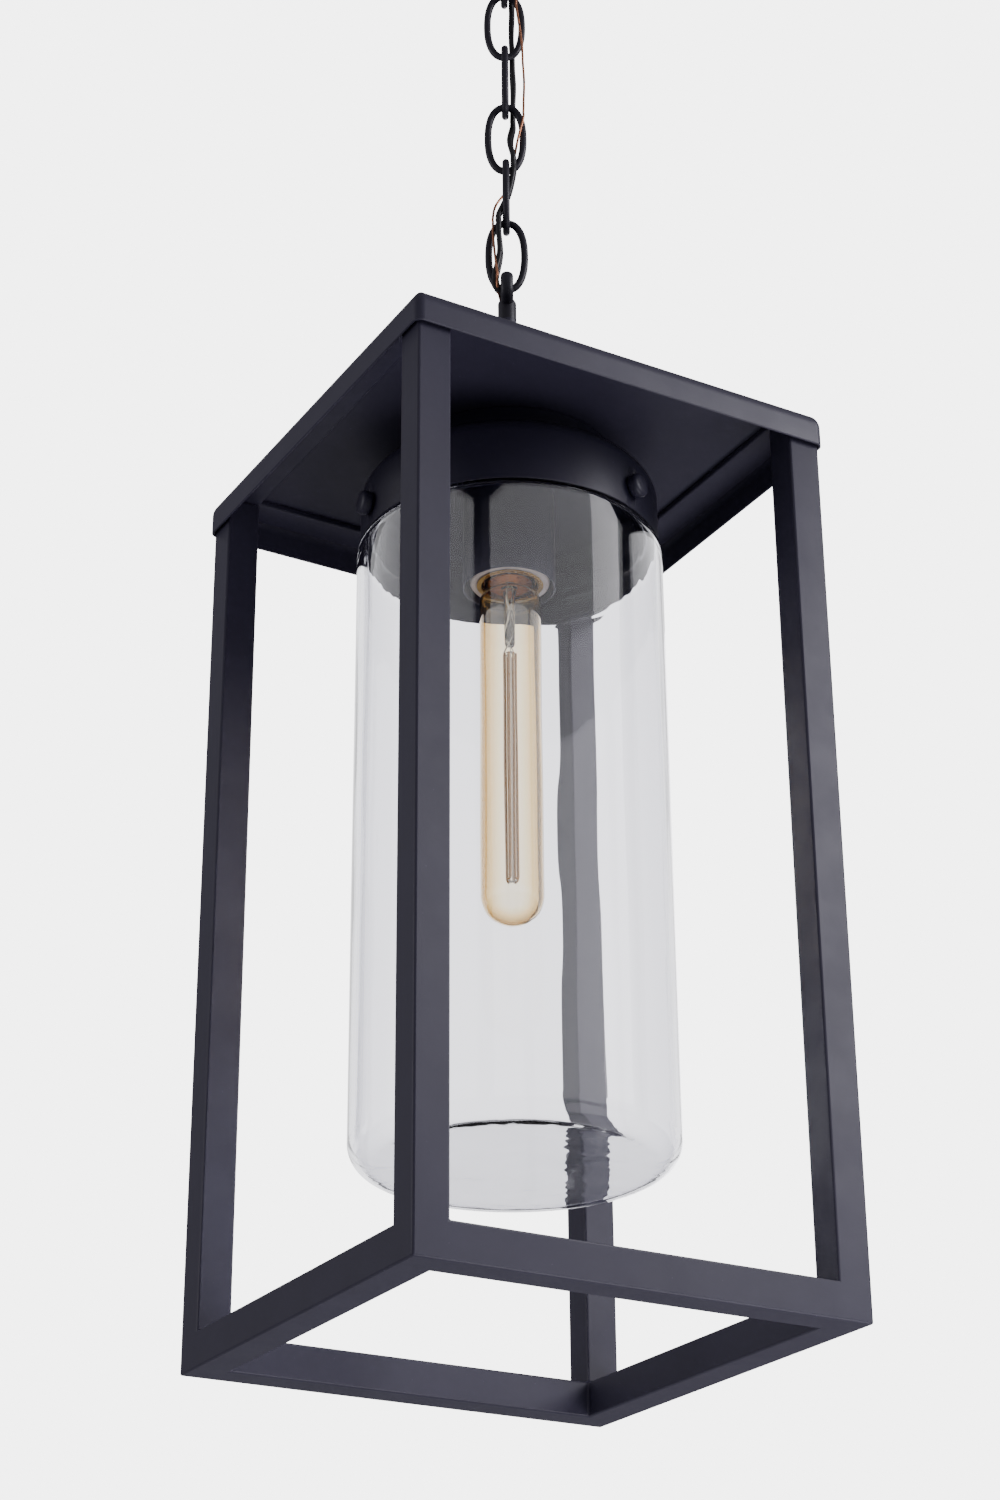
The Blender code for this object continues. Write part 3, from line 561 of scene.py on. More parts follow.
# %% Stem and eye
FIRST_WIRE = 0.55335
LINK_WIRE = 0.0037
GAP = 0.0003
STEM_R = 0.00475
STEM_BORE = 0.00365
EYE_LOW = 0.5462
EYE_BAR = 0.0049
EYE_INSIDE = 0.0080


def swept_loop(path, half_in, half_out, sides):
    """A closed bar of oval section along points (away, height) in the plane across = 0."""
    rings = []
    for i, (y, z) in enumerate(path):
        before, after = path[i - 1], path[(i + 1) % len(path)]
        along = Vector((0, after[0] - before[0], after[1] - before[1])).normalized()
        out = Vector((0, along.z, -along.y))
        ring = []
        for k in range(sides):
            angle = 2 * math.pi * k / sides
            across = half_out * math.sin(angle)
            local = Vector((across, y, z)) + out * (half_in * math.cos(angle))
            ring.append(chain_point(local.x, local.y, local.z))
        rings.append(ring)
    return skin(rings, closed=True)


def hanging_eye():
    """The cast ring that the first link hangs in, and the neck below it."""
    inner_top = FIRST_WIRE + LINK_WIRE / 2 + GAP
    middle = (inner_top + EYE_LOW) / 2
    tall = (inner_top - EYE_LOW + EYE_BAR) / 2
    wide = EYE_INSIDE + EYE_BAR / 2
    fullness, steps = 0.72, 56
    path = []
    for i in range(steps):
        angle = 2 * math.pi * (i + 0.5) / steps
        c, s = math.cos(angle), math.sin(angle)
        away = wide * math.copysign(abs(c) ** fullness, c)
        path.append((away, middle + tall * math.copysign(abs(s) ** fullness, s)))
    ring = finished("hanging_eye", swept_loop(path, EYE_BAR / 2, 0.00325, 20), CHAIN_PAINT, 60)
    neck_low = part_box("stem_tube")[1][2] - BENCH + GAP
    neck = [(STEM_R, neck_low), (STEM_R, EYE_LOW - 0.0022)]
    neck += arc(STEM_R - 0.0022, EYE_LOW - 0.0022, 0.0022, 15, 90, 5)
    neck += [(0.0038, EYE_LOW), (0.0038, neck_low)]
    collar = finished("eye_neck", turned(neck, 40), CHAIN_PAINT)
    stand_for(ring, "lantern", "hanging_eye")
    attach(collar, "lantern")


def stem():
    """A plain tube, up to the neck of the eye."""
    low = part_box("stem_tube")[0][2] - BENCH
    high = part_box("stem_tube")[1][2] - BENCH + GAP
    outline = [(STEM_BORE, low), (STEM_R, low), (STEM_R, high), (STEM_BORE, high)]
    stand_for(finished("stem_tube", turned(outline, 40), FRAME_PAINT), "lantern", "stem_tube")


hanging_eye()
stem()
print(f"stem {STEM_R * 2000:.1f} mm across")

# %% [markdown]
# The fitter is spun from thin sheet over a wooden former, which gives its shoulder a soft
# roll. The drum above it is a plain cup. Their lower rims are the only sharp edges, so the
# outlines round those by a fraction of a millimetre to catch the light as paint does.

# %% Fitter and drum
FITTER_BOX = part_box("shade_holder")
FITTER_LOW, FITTER_TOP = FITTER_BOX[0][2] - BENCH, FITTER_BOX[1][2] - BENCH
FITTER_R = 0.0735
DRUM_R = 0.0525


def fitter():
    """The spun ring that holds the glass, open below."""
    bend, sheet = 0.0090, 0.0012
    centre_r, centre_z = FITTER_R - bend, FITTER_TOP - bend
    outline = [(FITTER_R - sheet, FITTER_LOW + 0.0003), (FITTER_R - sheet + 0.0003, FITTER_LOW)]
    outline += [(FITTER_R - 0.0004, FITTER_LOW), (FITTER_R, FITTER_LOW + 0.0004)]
    outline += arc(centre_r, centre_z, bend, 0, 90, 12)
    outline += [(0.0060, FITTER_TOP), (0.0060, FITTER_TOP - sheet)]
    outline += arc(centre_r, centre_z, bend - sheet, 90, 0, 10)
    return finished("shade_holder", turned(outline, 128), ROOF_SHADED_FITTER_PAINT)


def drum():
    """The plain cup between the fitter and the roof."""
    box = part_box("holder_drum")
    high, sheet, soft = box[1][2] - BENCH, 0.0012, 0.0008
    low = FITTER_TOP
    outline = [(DRUM_R - sheet, low), (DRUM_R + soft, low), (DRUM_R, low + soft), (DRUM_R, high)]
    outline += [(STEM_R + 0.0006, high), (STEM_R + 0.0006, high - sheet), (DRUM_R - sheet, high - sheet)]
    return finished("holder_drum", turned(outline, 96), ROOF_SHADED_FITTER_PAINT)


stand_for(drum(), "lantern", "holder_drum")
print(f"fitter {FITTER_R * 2000:.0f} mm across, drum {DRUM_R * 2000:.0f} mm")

# %% [markdown]
# Three round-headed screws hold the glass. A turned outline serves for them too, laid along
# a radius of the fitter instead of upright. A shallow dome and a rolled edge make a head
# that reads as a finger knob.

# %% Thumbscrews
SCREW_LEVEL = 0.4080
SCREW_AT = (-66, 54, 174)


def along_radius(outline, angle, sides=36):
    """Rings along a radius at the screws' level, from points (distance, radius)."""
    spin = Matrix.Rotation(math.radians(angle), 3, "Z")
    rings = []
    for distance, r in outline:
        ring = []
        for k in range(sides):
            turn = 2 * math.pi * k / sides
            ring.append(spin @ Vector((distance, r * math.cos(turn), at(SCREW_LEVEL) + r * math.sin(turn))))
        rings.append(ring)
    return skin(rings)


def bored(piece, outline):
    """The piece with a hole cut through it along a radius at each screw."""
    cutters = [finished("screw_bore", along_radius(outline, angle), ROOF_SHADED_FITTER_PAINT) for angle in SCREW_AT]
    for cutter in cutters:
        bore = piece.modifiers.new("screw_bore", "BOOLEAN")
        bore.object = cutter
        bore.solver = "EXACT"
    graph = bpy.context.evaluated_depsgraph_get()
    cut = bpy.data.meshes.new_from_object(piece.evaluated_get(graph))
    piece.modifiers.clear()
    piece.data = cut
    for cutter in cutters:
        bpy.data.objects.remove(cutter, do_unlink=True)
    return piece


BORE_R = 0.00235
BORE = [(FITTER_R - 0.0060, BORE_R), (FITTER_R + 0.0040, BORE_R)]
stand_for(bored(fitter(), BORE), "lantern", "shade_holder")


def thumbscrew(number, angle):
    """One screw: a thin shank through the bore and a domed head outside the fitter."""
    head, big = FITTER_R + 0.0006, 0.0060
    outline = [(0.0698, 0.0016), (0.0702, 0.0019), (head, 0.0020), (head, big - 0.0007)]
    outline += [(head + 0.0005, big - 0.0001), (head + 0.0012, big), (head + 0.0036, big)]
    outline += [(head + 0.0045, big - 0.0004), (head + 0.0051, big - 0.0012), (head + 0.0054, 0.0032)]
    outline += [(head + 0.0055, 0.0010)]
    knob = finished(f"thumbscrew_{number}", along_radius(outline, angle), ROOF_SHADED_FITTER_PAINT, 50)
    stand_for(knob, f"screw_{number}", f"thumbscrew_{number}")


for number, angle in enumerate(SCREW_AT, 1):
    thumbscrew(number, angle)
print(f"{len(SCREW_AT)} screws at {SCREW_AT} degrees")

# %% [markdown]
# The lampholder is three turned pieces inside each other: a painted steel cup, a glazed
# porcelain body and a brass screw shell. The shell's thread is rolled, so it is a smooth
# wave in the outline and not a cut groove.

# %% Lampholder
CUP_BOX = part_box("socket_cup")
CUP_LOW, CUP_TOP = CUP_BOX[0][2] - BENCH, CUP_BOX[1][2] - BENCH
CUP_R = 0.0226
THREAD = 0.003629


def socket_cup():
    """The painted steel cup round the porcelain."""
    sheet, soft = 0.0010, 0.0020
    outline = [(CUP_R - sheet, CUP_LOW + 0.0004), (CUP_R - sheet + 0.0004, CUP_LOW)]
    outline += [(CUP_R - 0.0003, CUP_LOW), (CUP_R, CUP_LOW + 0.0003)]
    outline += arc(CUP_R - soft, CUP_TOP - soft, soft, 0, 90, 6)
    outline += [(0.0060, CUP_TOP), (0.0060, CUP_TOP - sheet)]
    outline += [(CUP_R - soft, CUP_TOP - sheet), (CUP_R - sheet, CUP_TOP - soft)]
    return finished("socket_cup", turned(outline, 96), FRAME_PAINT)


def rolled_thread(radius, low, high, depth):
    """A stack of waves, one for each turn of a rolled thread."""
    per_turn = 6
    count = max(2, int((high - low) / THREAD * per_turn))
    points = []
    for i in range(count + 1):
        height = low + (high - low) * i / count
        wave = math.cos(2 * math.pi * (height - low) / THREAD)
        points.append((radius + depth * wave, height))
    return points


def socket_porcelain():
    """The glazed body, bored for the shell."""
    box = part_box("socket_porcelain")
    low, high = box[0][2] - BENCH, box[1][2] - BENCH
    r, bore, soft = 0.0197, 0.0149, 0.0012
    outline = arc(bore + soft, low + soft, soft, 180, 270, 4)
    outline += arc(r - soft, low + soft, soft, 270, 360, 5)
    outline += [(r, high), (0.0050, high), (0.0050, high - 0.0060), (bore, high - 0.0060)]
    return finished("socket_porcelain", turned(outline, 80), PORCELAIN)


def socket_shell():
    """The brass shell that the bulb screws into, with a flange at its mouth."""
    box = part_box("socket_shell")
    low, high = box[0][2] - BENCH, box[1][2] - BENCH
    outer = rolled_thread(0.01420, low + 0.0030, high, 0.0003)
    inner = [(r - 0.0005, z) for r, z in reversed(outer)]
    flange = [(0.0140, low), (0.0158, low), (0.0162, low + 0.0003)]
    flange += [(0.0158, low + 0.0006), (0.0146, low + 0.0007)]
    return finished("socket_shell", turned(flange + outer + inner, 72), BRASS, 60)


stand_for(socket_cup(), "lantern", "socket_cup")
stand_for(socket_porcelain(), "lantern", "socket_porcelain")
stand_for(socket_shell(), "lantern", "socket_shell")
print(f"lampholder cup {CUP_R * 2000:.0f} mm across, thread {THREAD * 1000:.3f} mm a turn")

# %% [markdown]
# The tumbler is one thick-walled vessel: a rounded foot, a tall wall, a rounded shoulder
# and a short neck that goes up inside the fitter. Its wall waves by a tenth of a
# millimetre or so round the turn and along the height, which bends what is seen through it.

# %% Glass tumbler
GLASS_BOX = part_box("glass_shade")
GLASS_LOW, GLASS_TOP = GLASS_BOX[0][2] - BENCH, GLASS_BOX[1][2] - BENCH
GLASS_R = 0.0753


def hand_wave(depth, phase):
    """How far the wall strays from round at a turn and a height."""

    def stray(angle, height):
        slow = math.sin(3 * angle + 9 * height + phase) + 0.6 * math.sin(7 * angle - 23 * height + phase)
        return depth * slow

    return stray


def straight(radius, low, high, steps):
    """Points along an upright wall, without its two ends."""
    return [(radius, low + (high - low) * i / steps) for i in range(1, steps)]


def glass_shade():
    """The closed vessel, from the middle of its foot up the outside and down the inside."""
    foot, shoulder, wall = 0.0120, 0.0070, 0.0030
    r = GLASS_R - 0.0002
    bend = GLASS_TOP - 0.0265
    neck = 0.0668
    outer = arc(r - foot, GLASS_LOW + foot, foot, -90, 0, 14)
    outer += straight(r, GLASS_LOW + foot, bend, 24)
    outer += arc(r - shoulder, bend, shoulder, 0, 78, 10)
    outer += [(neck + 0.0006, bend + 0.0085), (neck, bend + 0.0100), (neck, GLASS_TOP - 0.0010)]
    outer += [(neck - 0.0010, GLASS_TOP)]
    inner = [(neck - 0.0020, GLASS_TOP), (neck - wall, GLASS_TOP - 0.0010), (neck - wall, bend + 0.0085)]
    inner += arc(r - shoulder, bend, shoulder - wall, 78, 0, 8)
    inner += straight(r - wall, bend, GLASS_LOW + foot, 24)
    inner += arc(r - foot, GLASS_LOW + foot, foot - wall, 0, -90, 10)
    pole, ring = 0.0001, 0.012
    base = [(pole, GLASS_LOW)] + [(ring * k, GLASS_LOW) for k in range(1, 6)]
    inside = [(ring * k, GLASS_LOW + wall) for k in range(5, 0, -1)] + [(pole, GLASS_LOW + wall)]
    rings_out = turned(base + outer + inner + inside, 144, closed=False, ripple=hand_wave(0.00010, 0.4))
    return finished("glass_shade", rings_out, SHADE_GLASS, 80)


stand_for(glass_shade(), "shade", "glass_shade")
print(f"glass {GLASS_R * 2000:.0f} mm across, {(GLASS_TOP - GLASS_LOW) * 1000:.0f} mm tall")

# %% [markdown]
# The bulb is a long thin tube of tinted glass, drawn to a hemisphere at its tip. Its brass
# cap carries the same rolled thread as the shell. Inside, a pinched glass stem holds two
# stiff leads, and the filament hangs from them in long hairpins round a lower support.

# %% Bulb envelope, cap and stem
BULB_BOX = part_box("bulb_envelope")
BULB_TIP, BULB_MOUTH = BULB_BOX[0][2] - BENCH, BULB_BOX[1][2] - BENCH
BULB_R = 0.0150
CAP_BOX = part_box("bulb_base")
CAP_LOW, CAP_TOP = CAP_BOX[0][2] - BENCH, CAP_BOX[1][2] - BENCH
STEM_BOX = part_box("bulb_stem")
PINCH_LOW, PINCH_HIGH = STEM_BOX[0][2] - BENCH, STEM_BOX[1][2] - BENCH


def bulb_envelope():
    """The tinted tube, round at its tip and drawn in at its neck."""
    r, wall, mouth = BULB_R, 0.0008, 0.0122
    outer = [(0.0001, BULB_TIP)] + arc(0, BULB_TIP + r, r, -86, 0, 20)
    outer += straight(r, BULB_TIP + r, BULB_MOUTH - 0.0180, 10)
    outer += arc(r - 0.0060, BULB_MOUTH - 0.0150, 0.0060, 0, 50, 5) + [(mouth, BULB_MOUTH - 0.0040)]
    outer += [(mouth, BULB_MOUTH)]
    inner = [(mouth - wall, BULB_MOUTH), (mouth - wall, BULB_MOUTH - 0.0044)]
    inner += arc(r - 0.0060, BULB_MOUTH - 0.0150, 0.0060 - wall, 50, 0, 5)
    inner += straight(r - wall, BULB_MOUTH - 0.0180, BULB_TIP + r, 10)
    inner += arc(0, BULB_TIP + r, r - wall, 0, -86, 18) + [(0.0001, BULB_TIP + wall)]
    return finished("bulb_envelope", turned(outer + inner, 72, closed=False), BULB_GLASS, 80)


def bulb_base():
    """The brass cap with its rolled thread."""
    low, high = CAP_LOW, CAP_TOP
    outer = [(0.01305, low), (0.01305, low + 0.0025)]
    outer += rolled_thread(0.01275, low + 0.0035, high - 0.0065, 0.00032)
    outer += [(0.0128, high - 0.0055), (0.0062, high - 0.0018)]
    inner = [(r - 0.0004, z - 0.0001) for r, z in reversed(outer)]
    return finished("bulb_base", turned(outer + inner, 72), BRASS, 60)


def bulb_stem():
    """The clear glass stem, flared where it joins the neck."""
    low, high = PINCH_LOW, PINCH_HIGH
    outline = [(0.0001, low), (0.0018, low + 0.0003), (0.0024, low + 0.0014), (0.0026, high - 0.0150)]
    outline += [(0.0034, high - 0.0110), (0.0056, high - 0.0050), (0.0085, high - 0.0012), (0.0096, high)]
    outline += [(0.0001, high)]
    return finished("bulb_stem", turned(outline, 40, closed=False), STEM_GLASS, 80)


def neck_flare():
    """The copper-coloured disc that closes the bulb's neck inside its cap."""
    low = BULB_MOUTH - 0.0052
    outline = [(0.0034, low), (0.0106, low), (0.0109, low + 0.0004)]
    outline += [(0.0106, low + 0.0008), (0.0034, low + 0.0008)]
    return finished("bulb_flare", turned(outline, 56), COPPER)


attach(neck_flare(), "bulb")
stand_for(bulb_envelope(), "bulb", "bulb_envelope")
stand_for(bulb_base(), "bulb", "bulb_base")
stand_for(bulb_stem(), "bulb", "bulb_stem")
print(f"bulb {BULB_R * 2000:.0f} mm across")

# %% [markdown]
# Everything made of wire follows a path, which is what Geometry Nodes are good at. One tree
# takes a line of vertices, turns it into a curve and sweeps a round section along it. It
# serves for the filament, the leads, the chain, the insulated wires and the bare earth wire.

# %% Wire tree


def wire_tree():
    """The node tree and the identifiers of its three sizes and finish."""
    tree = bpy.data.node_groups.new("drawn_wire", "GeometryNodeTree")
    face = tree.interface
    face.new_socket("Geometry", in_out="INPUT", socket_type="NodeSocketGeometry")
    radius = face.new_socket("Wire radius", in_out="INPUT", socket_type="NodeSocketFloat")
    sides = face.new_socket("Sides", in_out="INPUT", socket_type="NodeSocketInt")
    finish = face.new_socket("Finish", in_out="INPUT", socket_type="NodeSocketMaterial")
    face.new_socket("Geometry", in_out="OUTPUT", socket_type="NodeSocketGeometry")
    nodes = tree.nodes
    start, end = nodes.new("NodeGroupInput"), nodes.new("NodeGroupOutput")
    curve = nodes.new("GeometryNodeMeshToCurve")
    section = nodes.new("GeometryNodeCurvePrimitiveCircle")
    sweep = nodes.new("GeometryNodeCurveToMesh")
    sweep.inputs["Fill Caps"].default_value = True
    smooth = nodes.new("GeometryNodeSetShadeSmooth")
    realize = nodes.new("GeometryNodeRealizeInstances")
    paint = nodes.new("GeometryNodeSetMaterial")
    join = tree.links.new
    join(start.outputs["Geometry"], curve.inputs["Mesh"])
    join(start.outputs["Wire radius"], section.inputs["Radius"])
    join(start.outputs["Sides"], section.inputs["Resolution"])
    join(curve.outputs["Curve"], sweep.inputs["Curve"])
    join(section.outputs["Curve"], sweep.inputs["Profile Curve"])
    join(sweep.outputs["Mesh"], smooth.inputs["Geometry"])
    join(smooth.outputs["Geometry"], realize.inputs["Geometry"])
    join(realize.outputs["Geometry"], paint.inputs["Geometry"])
    join(start.outputs["Finish"], paint.inputs["Material"])
    join(paint.outputs["Geometry"], end.inputs["Geometry"])
    return tree, radius.identifier, sides.identifier, finish.identifier


WIRE_TREE, WIRE_RADIUS, WIRE_SIDES, WIRE_FINISH = wire_tree()


def baked(holder, name):
    """The evaluated object's mesh as a plain piece, without its modifier."""
    graph = bpy.context.evaluated_depsgraph_get()
    mesh = bpy.data.meshes.new_from_object(holder.evaluated_get(graph))
    mesh.name = name
    made = bpy.data.objects.new(name, mesh)
    bpy.context.collection.objects.link(made)
    bpy.data.objects.remove(holder, do_unlink=True)
    return made


def drawn_wires(name, lines, radius, material, sides):
    """One piece of round wires, each along its own list of points."""
    mesh = bpy.data.meshes.new(name + "_line")
    points, edges = [], []
    for line in lines:
        first, count = len(points), len(line)
        loop = (Vector(line[0]) - Vector(line[-1])).length < 1e-7
        points += [tuple(point) for point in (line[:-1] if loop else line)]
        edges += [(first + i, first + i + 1) for i in range(count - (2 if loop else 1))]
        if loop:
            edges.append((first + count - 2, first))
    mesh.from_pydata(points, edges, [])
    holder = bpy.data.objects.new(name + "_line", mesh)
    bpy.context.collection.objects.link(holder)
    modifier = holder.modifiers.new("drawn_wire", "NODES")
    modifier.node_group = WIRE_TREE
    modifier[WIRE_RADIUS] = radius
    modifier[WIRE_SIDES] = sides
    modifier[WIRE_FINISH] = material
    return baked(holder, name)


# %% [markdown]
# The filament runs up and down four times between the leads at the top and a small wire
# spider at the bottom. The two leads wind a turn and a quarter round each other in the stem.
# Each hairpin is a straight drop with a rounded turn, worked out by a loop.

# %% Filament, leads and spider
FILAMENT_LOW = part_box("bulb_filament")[0][2] - BENCH
REACH = 0.0027
HAIRPIN_HALF = 0.0011
FIRST_HAIRPIN = 20
SPIDER_DROP = 0.0018


def hairpin(angle, radius, low, high):
    """One long loop of filament that stands at an angle round the bulb's axis."""
    out = Vector((math.cos(angle), math.sin(angle), 0))
    aside = Vector((-out.y, out.x, 0)) * HAIRPIN_HALF
    points = []
    for i in range(25):
        points.append(out * radius - aside + Vector((0, 0, at(high + (low - high) * i / 24))))
    for i in range(1, 8):
        turn = math.pi * i / 8
        drop = Vector((0, 0, at(low - HAIRPIN_HALF * math.sin(turn))))
        points.append(out * radius - aside * math.cos(turn) + drop)
    for i in range(25):
        points.append(out * radius + aside + Vector((0, 0, at(low + (high - low) * i / 24))))
    return points


def bulb_filament():
    """The filament's four hairpins, and the leads, arms and rod that hold them."""
    high = PINCH_LOW - 0.0040
    low = FILAMENT_LOW + 0.0012
    loops = [hairpin(math.radians(FIRST_HAIRPIN + 90 * k), REACH, low, high) for k in range(4)]
    wires = drawn_wires("bulb_filament", loops, 0.00056, TUNGSTEN, 8)
    leads = []
    for side in (-1, 1):
        line = []
        for i in range(41):
            t = i / 40
            twist = math.pi * 2.5 * t
            spread = 0.0010 + 0.0022 * max(0.0, 0.4 - t) / 0.4
            x, y = side * spread * math.cos(twist), side * spread * math.sin(twist)
            line.append(Vector((x, y, at(high + (PINCH_HIGH - high) * t))))
        leads.append(line)
    arms = []
    for k in range(4):
        angle = math.radians(FIRST_HAIRPIN + 90 * k)
        out = Vector((math.cos(angle), math.sin(angle), 0))
        for level, drop in ((low - SPIDER_DROP, 0.0), (high, 0.0016)):
            arm = [Vector((0, 0, at(level + drop)))]
            arm += [out * (REACH * t) + Vector((0, 0, at(level + drop * (1 - t)))) for t in (0.5, 1.0)]
            arms.append(arm)
    foot, tall = low - SPIDER_DROP, PINCH_LOW - low + 0.0030
    rod = [Vector((0, 0, at(foot + tall * i / 12))) for i in range(13)]
    mount = drawn_wires("bulb_leads", leads + arms + [rod], 0.00030, ZINC, 8)
    stand_for(wires, "bulb", "bulb_filament")
    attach(mount, "bulb")


bulb_filament()
print(f"filament on a circle {REACH * 2000:.1f} mm across")

# %% [markdown]
# A chain link is a wire bent into an oval and welded shut. Its path is a superellipse, which
# is fuller at the corners than an ellipse, as a link is that was bent round two pins. The
# wire tree sweeps it like any other wire, a few hundredths of a millimetre over its nominal
# radius, and every second link has a quarter turn.

# %% Chain links
LINK_LONG = 0.0455
LINK_WIDE = 0.0224
LINKS = 6
PITCH = LINK_LONG - 2 * LINK_WIRE - GAP
LINK_EXTRA = 0.00007


def oval(half_wide, half_tall, fullness=0.86, steps=64):
    """Points (across, up) of a closed superellipse; the first is repeated at the end."""
    points = []
    for i in range(steps + 1):
        angle = 2 * math.pi * (i % steps) / steps
        c, s = math.cos(angle), math.sin(angle)
        across = half_wide * math.copysign(abs(c) ** fullness, c)
        points.append((across, half_tall * math.copysign(abs(s) ** fullness, s)))
    return points


def chain_link(number):
    """One link; the odd ones lie across, the even ones away."""
    name = f"chain_link_{number}"
    middle = FIRST_WIRE + (number - 1) * PITCH + (LINK_LONG - LINK_WIRE) / 2
    edge_on = number % 2 == 0
    path = []
    for side, up in oval((LINK_WIDE - LINK_WIRE) / 2, (LINK_LONG - LINK_WIRE) / 2):
        place = (0, side) if edge_on else (side, 0)
        path.append(chain_point(*place, middle + up))
    link = drawn_wires(name, [path], LINK_WIRE / 2 + LINK_EXTRA, CHAIN_PAINT, 16)
    return stand_for(link, f"link_{number}", name)


for number in range(1, LINKS + 1):
    chain_link(number)
print(f"{LINKS} links at {PITCH * 1000:.1f} mm")

# %% [markdown]
# Two insulated wires and a bare earth wire climb through the chain. Their route is a given list
# of places: at each crossing of two links the wires pass one of its four
# corners, and in the middle of a link they may change sides through its opening. The pair
# is laid up loosely, so one wire turns slowly about the other.

# %% The wires' routes
SIDE = 0.0040
FRONT = 0.0057
SUPPLY_BORE = (0.0007, 0.0)
EARTH_BORE = (-0.0028, 0.0)
CUT = 0.0023
WIRE_START = 0.4190 - 0.0014
LOOP_WIRE = 0.0060


def link_wire(number):
    """Height of the centre of a link's bottom wire, or of the canopy loop's above the last."""
    if number > LINKS:
        return FIRST_WIRE + (LINKS - 1) * PITCH + LINK_LONG - LINK_WIRE * 1.5 - GAP - LOOP_WIRE / 2
    return FIRST_WIRE + (number - 1) * PITCH


def through_link(places, number):
    """A route's points through one link, from its places at the bottom, middle and top."""
    low, high = link_wire(number) + CUT, link_wire(number + 1) - CUT
    bottom, middle, top = places
    return [
        (*bottom, low),
        (*bottom, low + 0.0030),
        (*middle, (low + high) / 2),
        (*top, high - 0.0030),
        (*top, high),
    ]


def supply_route():
    """The insulated pair's middle line, as (across, away, height)."""
    first = link_wire(1) - CUT
    points = [
        (*SUPPLY_BORE, WIRE_START),
        (*SUPPLY_BORE, 0.5330),
        (0.0004, -0.0006, EYE_LOW - 0.0070),
        (-0.0006, -0.0030, EYE_LOW - 0.0005),
        (-0.0034, -0.0051, first - 0.0022),
        (-0.0058, -0.0056, first),
    ]
    links = (
        ((-0.0058, -0.0056), (-0.0034, -0.0054), (-SIDE, -FRONT)),
        ((-SIDE, -FRONT), (0.0012, -0.0050), (SIDE, -FRONT)),
        ((SIDE, -FRONT), (0.0024, 0.0), (SIDE, FRONT)),
        ((SIDE, FRONT), (0.0044, 0.0052), (SIDE, FRONT)),
        ((SIDE, FRONT), (0.0036, 0.0054), (SIDE, FRONT)),
        ((SIDE, FRONT), (0.0044, 0.0058), (SIDE, 0.0062)),
    )
    for number, places in enumerate(links, 1):
        points += through_link(places, number)
    last = link_wire(LINKS + 1) + CUT
    points += [
        (SIDE, 0.0062, last),
        (SIDE, 0.0052, last + 0.0055),
        (0.0020, 0.0015, last + 0.0140),
        (*SUPPLY_BORE, last + 0.0205),
        (*SUPPLY_BORE, CEILING - 0.0010),
    ]
    return points


def earth_route():
    """The bare wire's line, as (across, away, height)."""
    first = link_wire(1) - CUT
    points = [
        (*EARTH_BORE, WIRE_START),
        (*EARTH_BORE, 0.5350),
        (-0.0030, -0.0002, EYE_LOW - 0.0020),
        (-0.0044, -0.0060, first - 0.0030),
        (-0.0050, -0.0088, first),
    ]
    links = (
        ((-0.0050, -0.0090), (-0.0062, -0.0066), (-0.0070, -0.0042)),
        ((-0.0070, -0.0040), (-0.0050, 0.0030), (0.0036, 0.0042)),
        ((0.0036, 0.0042), (0.0064, -0.0016), (0.0096, -0.0034)),
        ((0.0098, -0.0034), (0.0102, -0.0030), (0.0096, -0.0034)),
        ((0.0094, -0.0034), (0.0080, -0.0034), (0.0064, -0.0034)),
        ((0.0064, -0.0034), (0.0062, -0.0040), (0.0052, -0.0048)),
    )
    for number, places in enumerate(links, 1):
        points += through_link(places, number)
    last = link_wire(LINKS + 1) + CUT
    points += [
        (0.0052, -0.0048, last),
        (0.0048, -0.0044, last + 0.0060),
        (-0.0010, -0.0020, last + 0.0150),
        (*EARTH_BORE, last + 0.0215),
        (*EARTH_BORE, CEILING - 0.0010),
    ]
    return points


def smooth_line(points, step):
    """Points about one step apart on a smooth curve through a route, as (across, away, height)."""
    nodes = [Vector(point) for point in points]
    made = []
    for i in range(len(nodes) - 1):
        before, after = nodes[max(i - 1, 0)], nodes[min(i + 2, len(nodes) - 1)]
        start, end = nodes[i], nodes[i + 1]
        pieces = max(1, round((end - start).length / step))
        for k in range(pieces):
            t = k / pieces
            a = start * 2 + (end - before) * t
            b = (before * 2 - start * 5 + end * 4 - after) * t * t
            c = (start * 3 - before - end * 3 + after) * t * t * t
            made.append((a + b + c) / 2)
    made.append(nodes[-1])
    return made


# %% [markdown]
# The wires cross every pivot of the chain. Each piece here runs from the middle of one link
# to the middle of the next, across the pivot between them.

# %% Wires in pieces
STRAND_R = 0.00145
EARTH_R = 0.00065
LAY = ((0.40, 60), (0.553, 70), (0.600, 95), (0.650, 75), (0.690, 100), (0.745, 80), (0.85, 120))


def lay_angle(height):
    """The direction in degrees from one wire of the pair to the other."""
    places, angles = zip(*LAY)
    return math.radians(float(np.interp(height, places, angles)))


def strands(line):
    """The pair's two lines, each offset from the route by its own radius."""
    pair = ([], [])
    for point in line:
        turn = lay_angle(point.z)
        inside = point.z < EYE_LOW or point.z > link_wire(LINKS + 1) + 0.020
        reach = STRAND_R * (0.82 if inside else 1.04)
        offset = Vector((math.cos(turn), math.sin(turn), 0)) * reach
        pair[0].append(point + offset)
        pair[1].append(point - offset)
    return pair


def between_heights(line, low, high):
    """The stretch of a line from one height to another, with its ends exactly there."""
    inside = [point for point in line if low < point.z < high]

    def crossing(level):
        for first, second in zip(line, line[1:]):
            if first.z <= level <= second.z:
                return first.lerp(second, (level - first.z) / max(1e-9, second.z - first.z))
        return line[0] if level <= line[0].z else line[-1]

    return [crossing(low)] + inside + [crossing(high)]


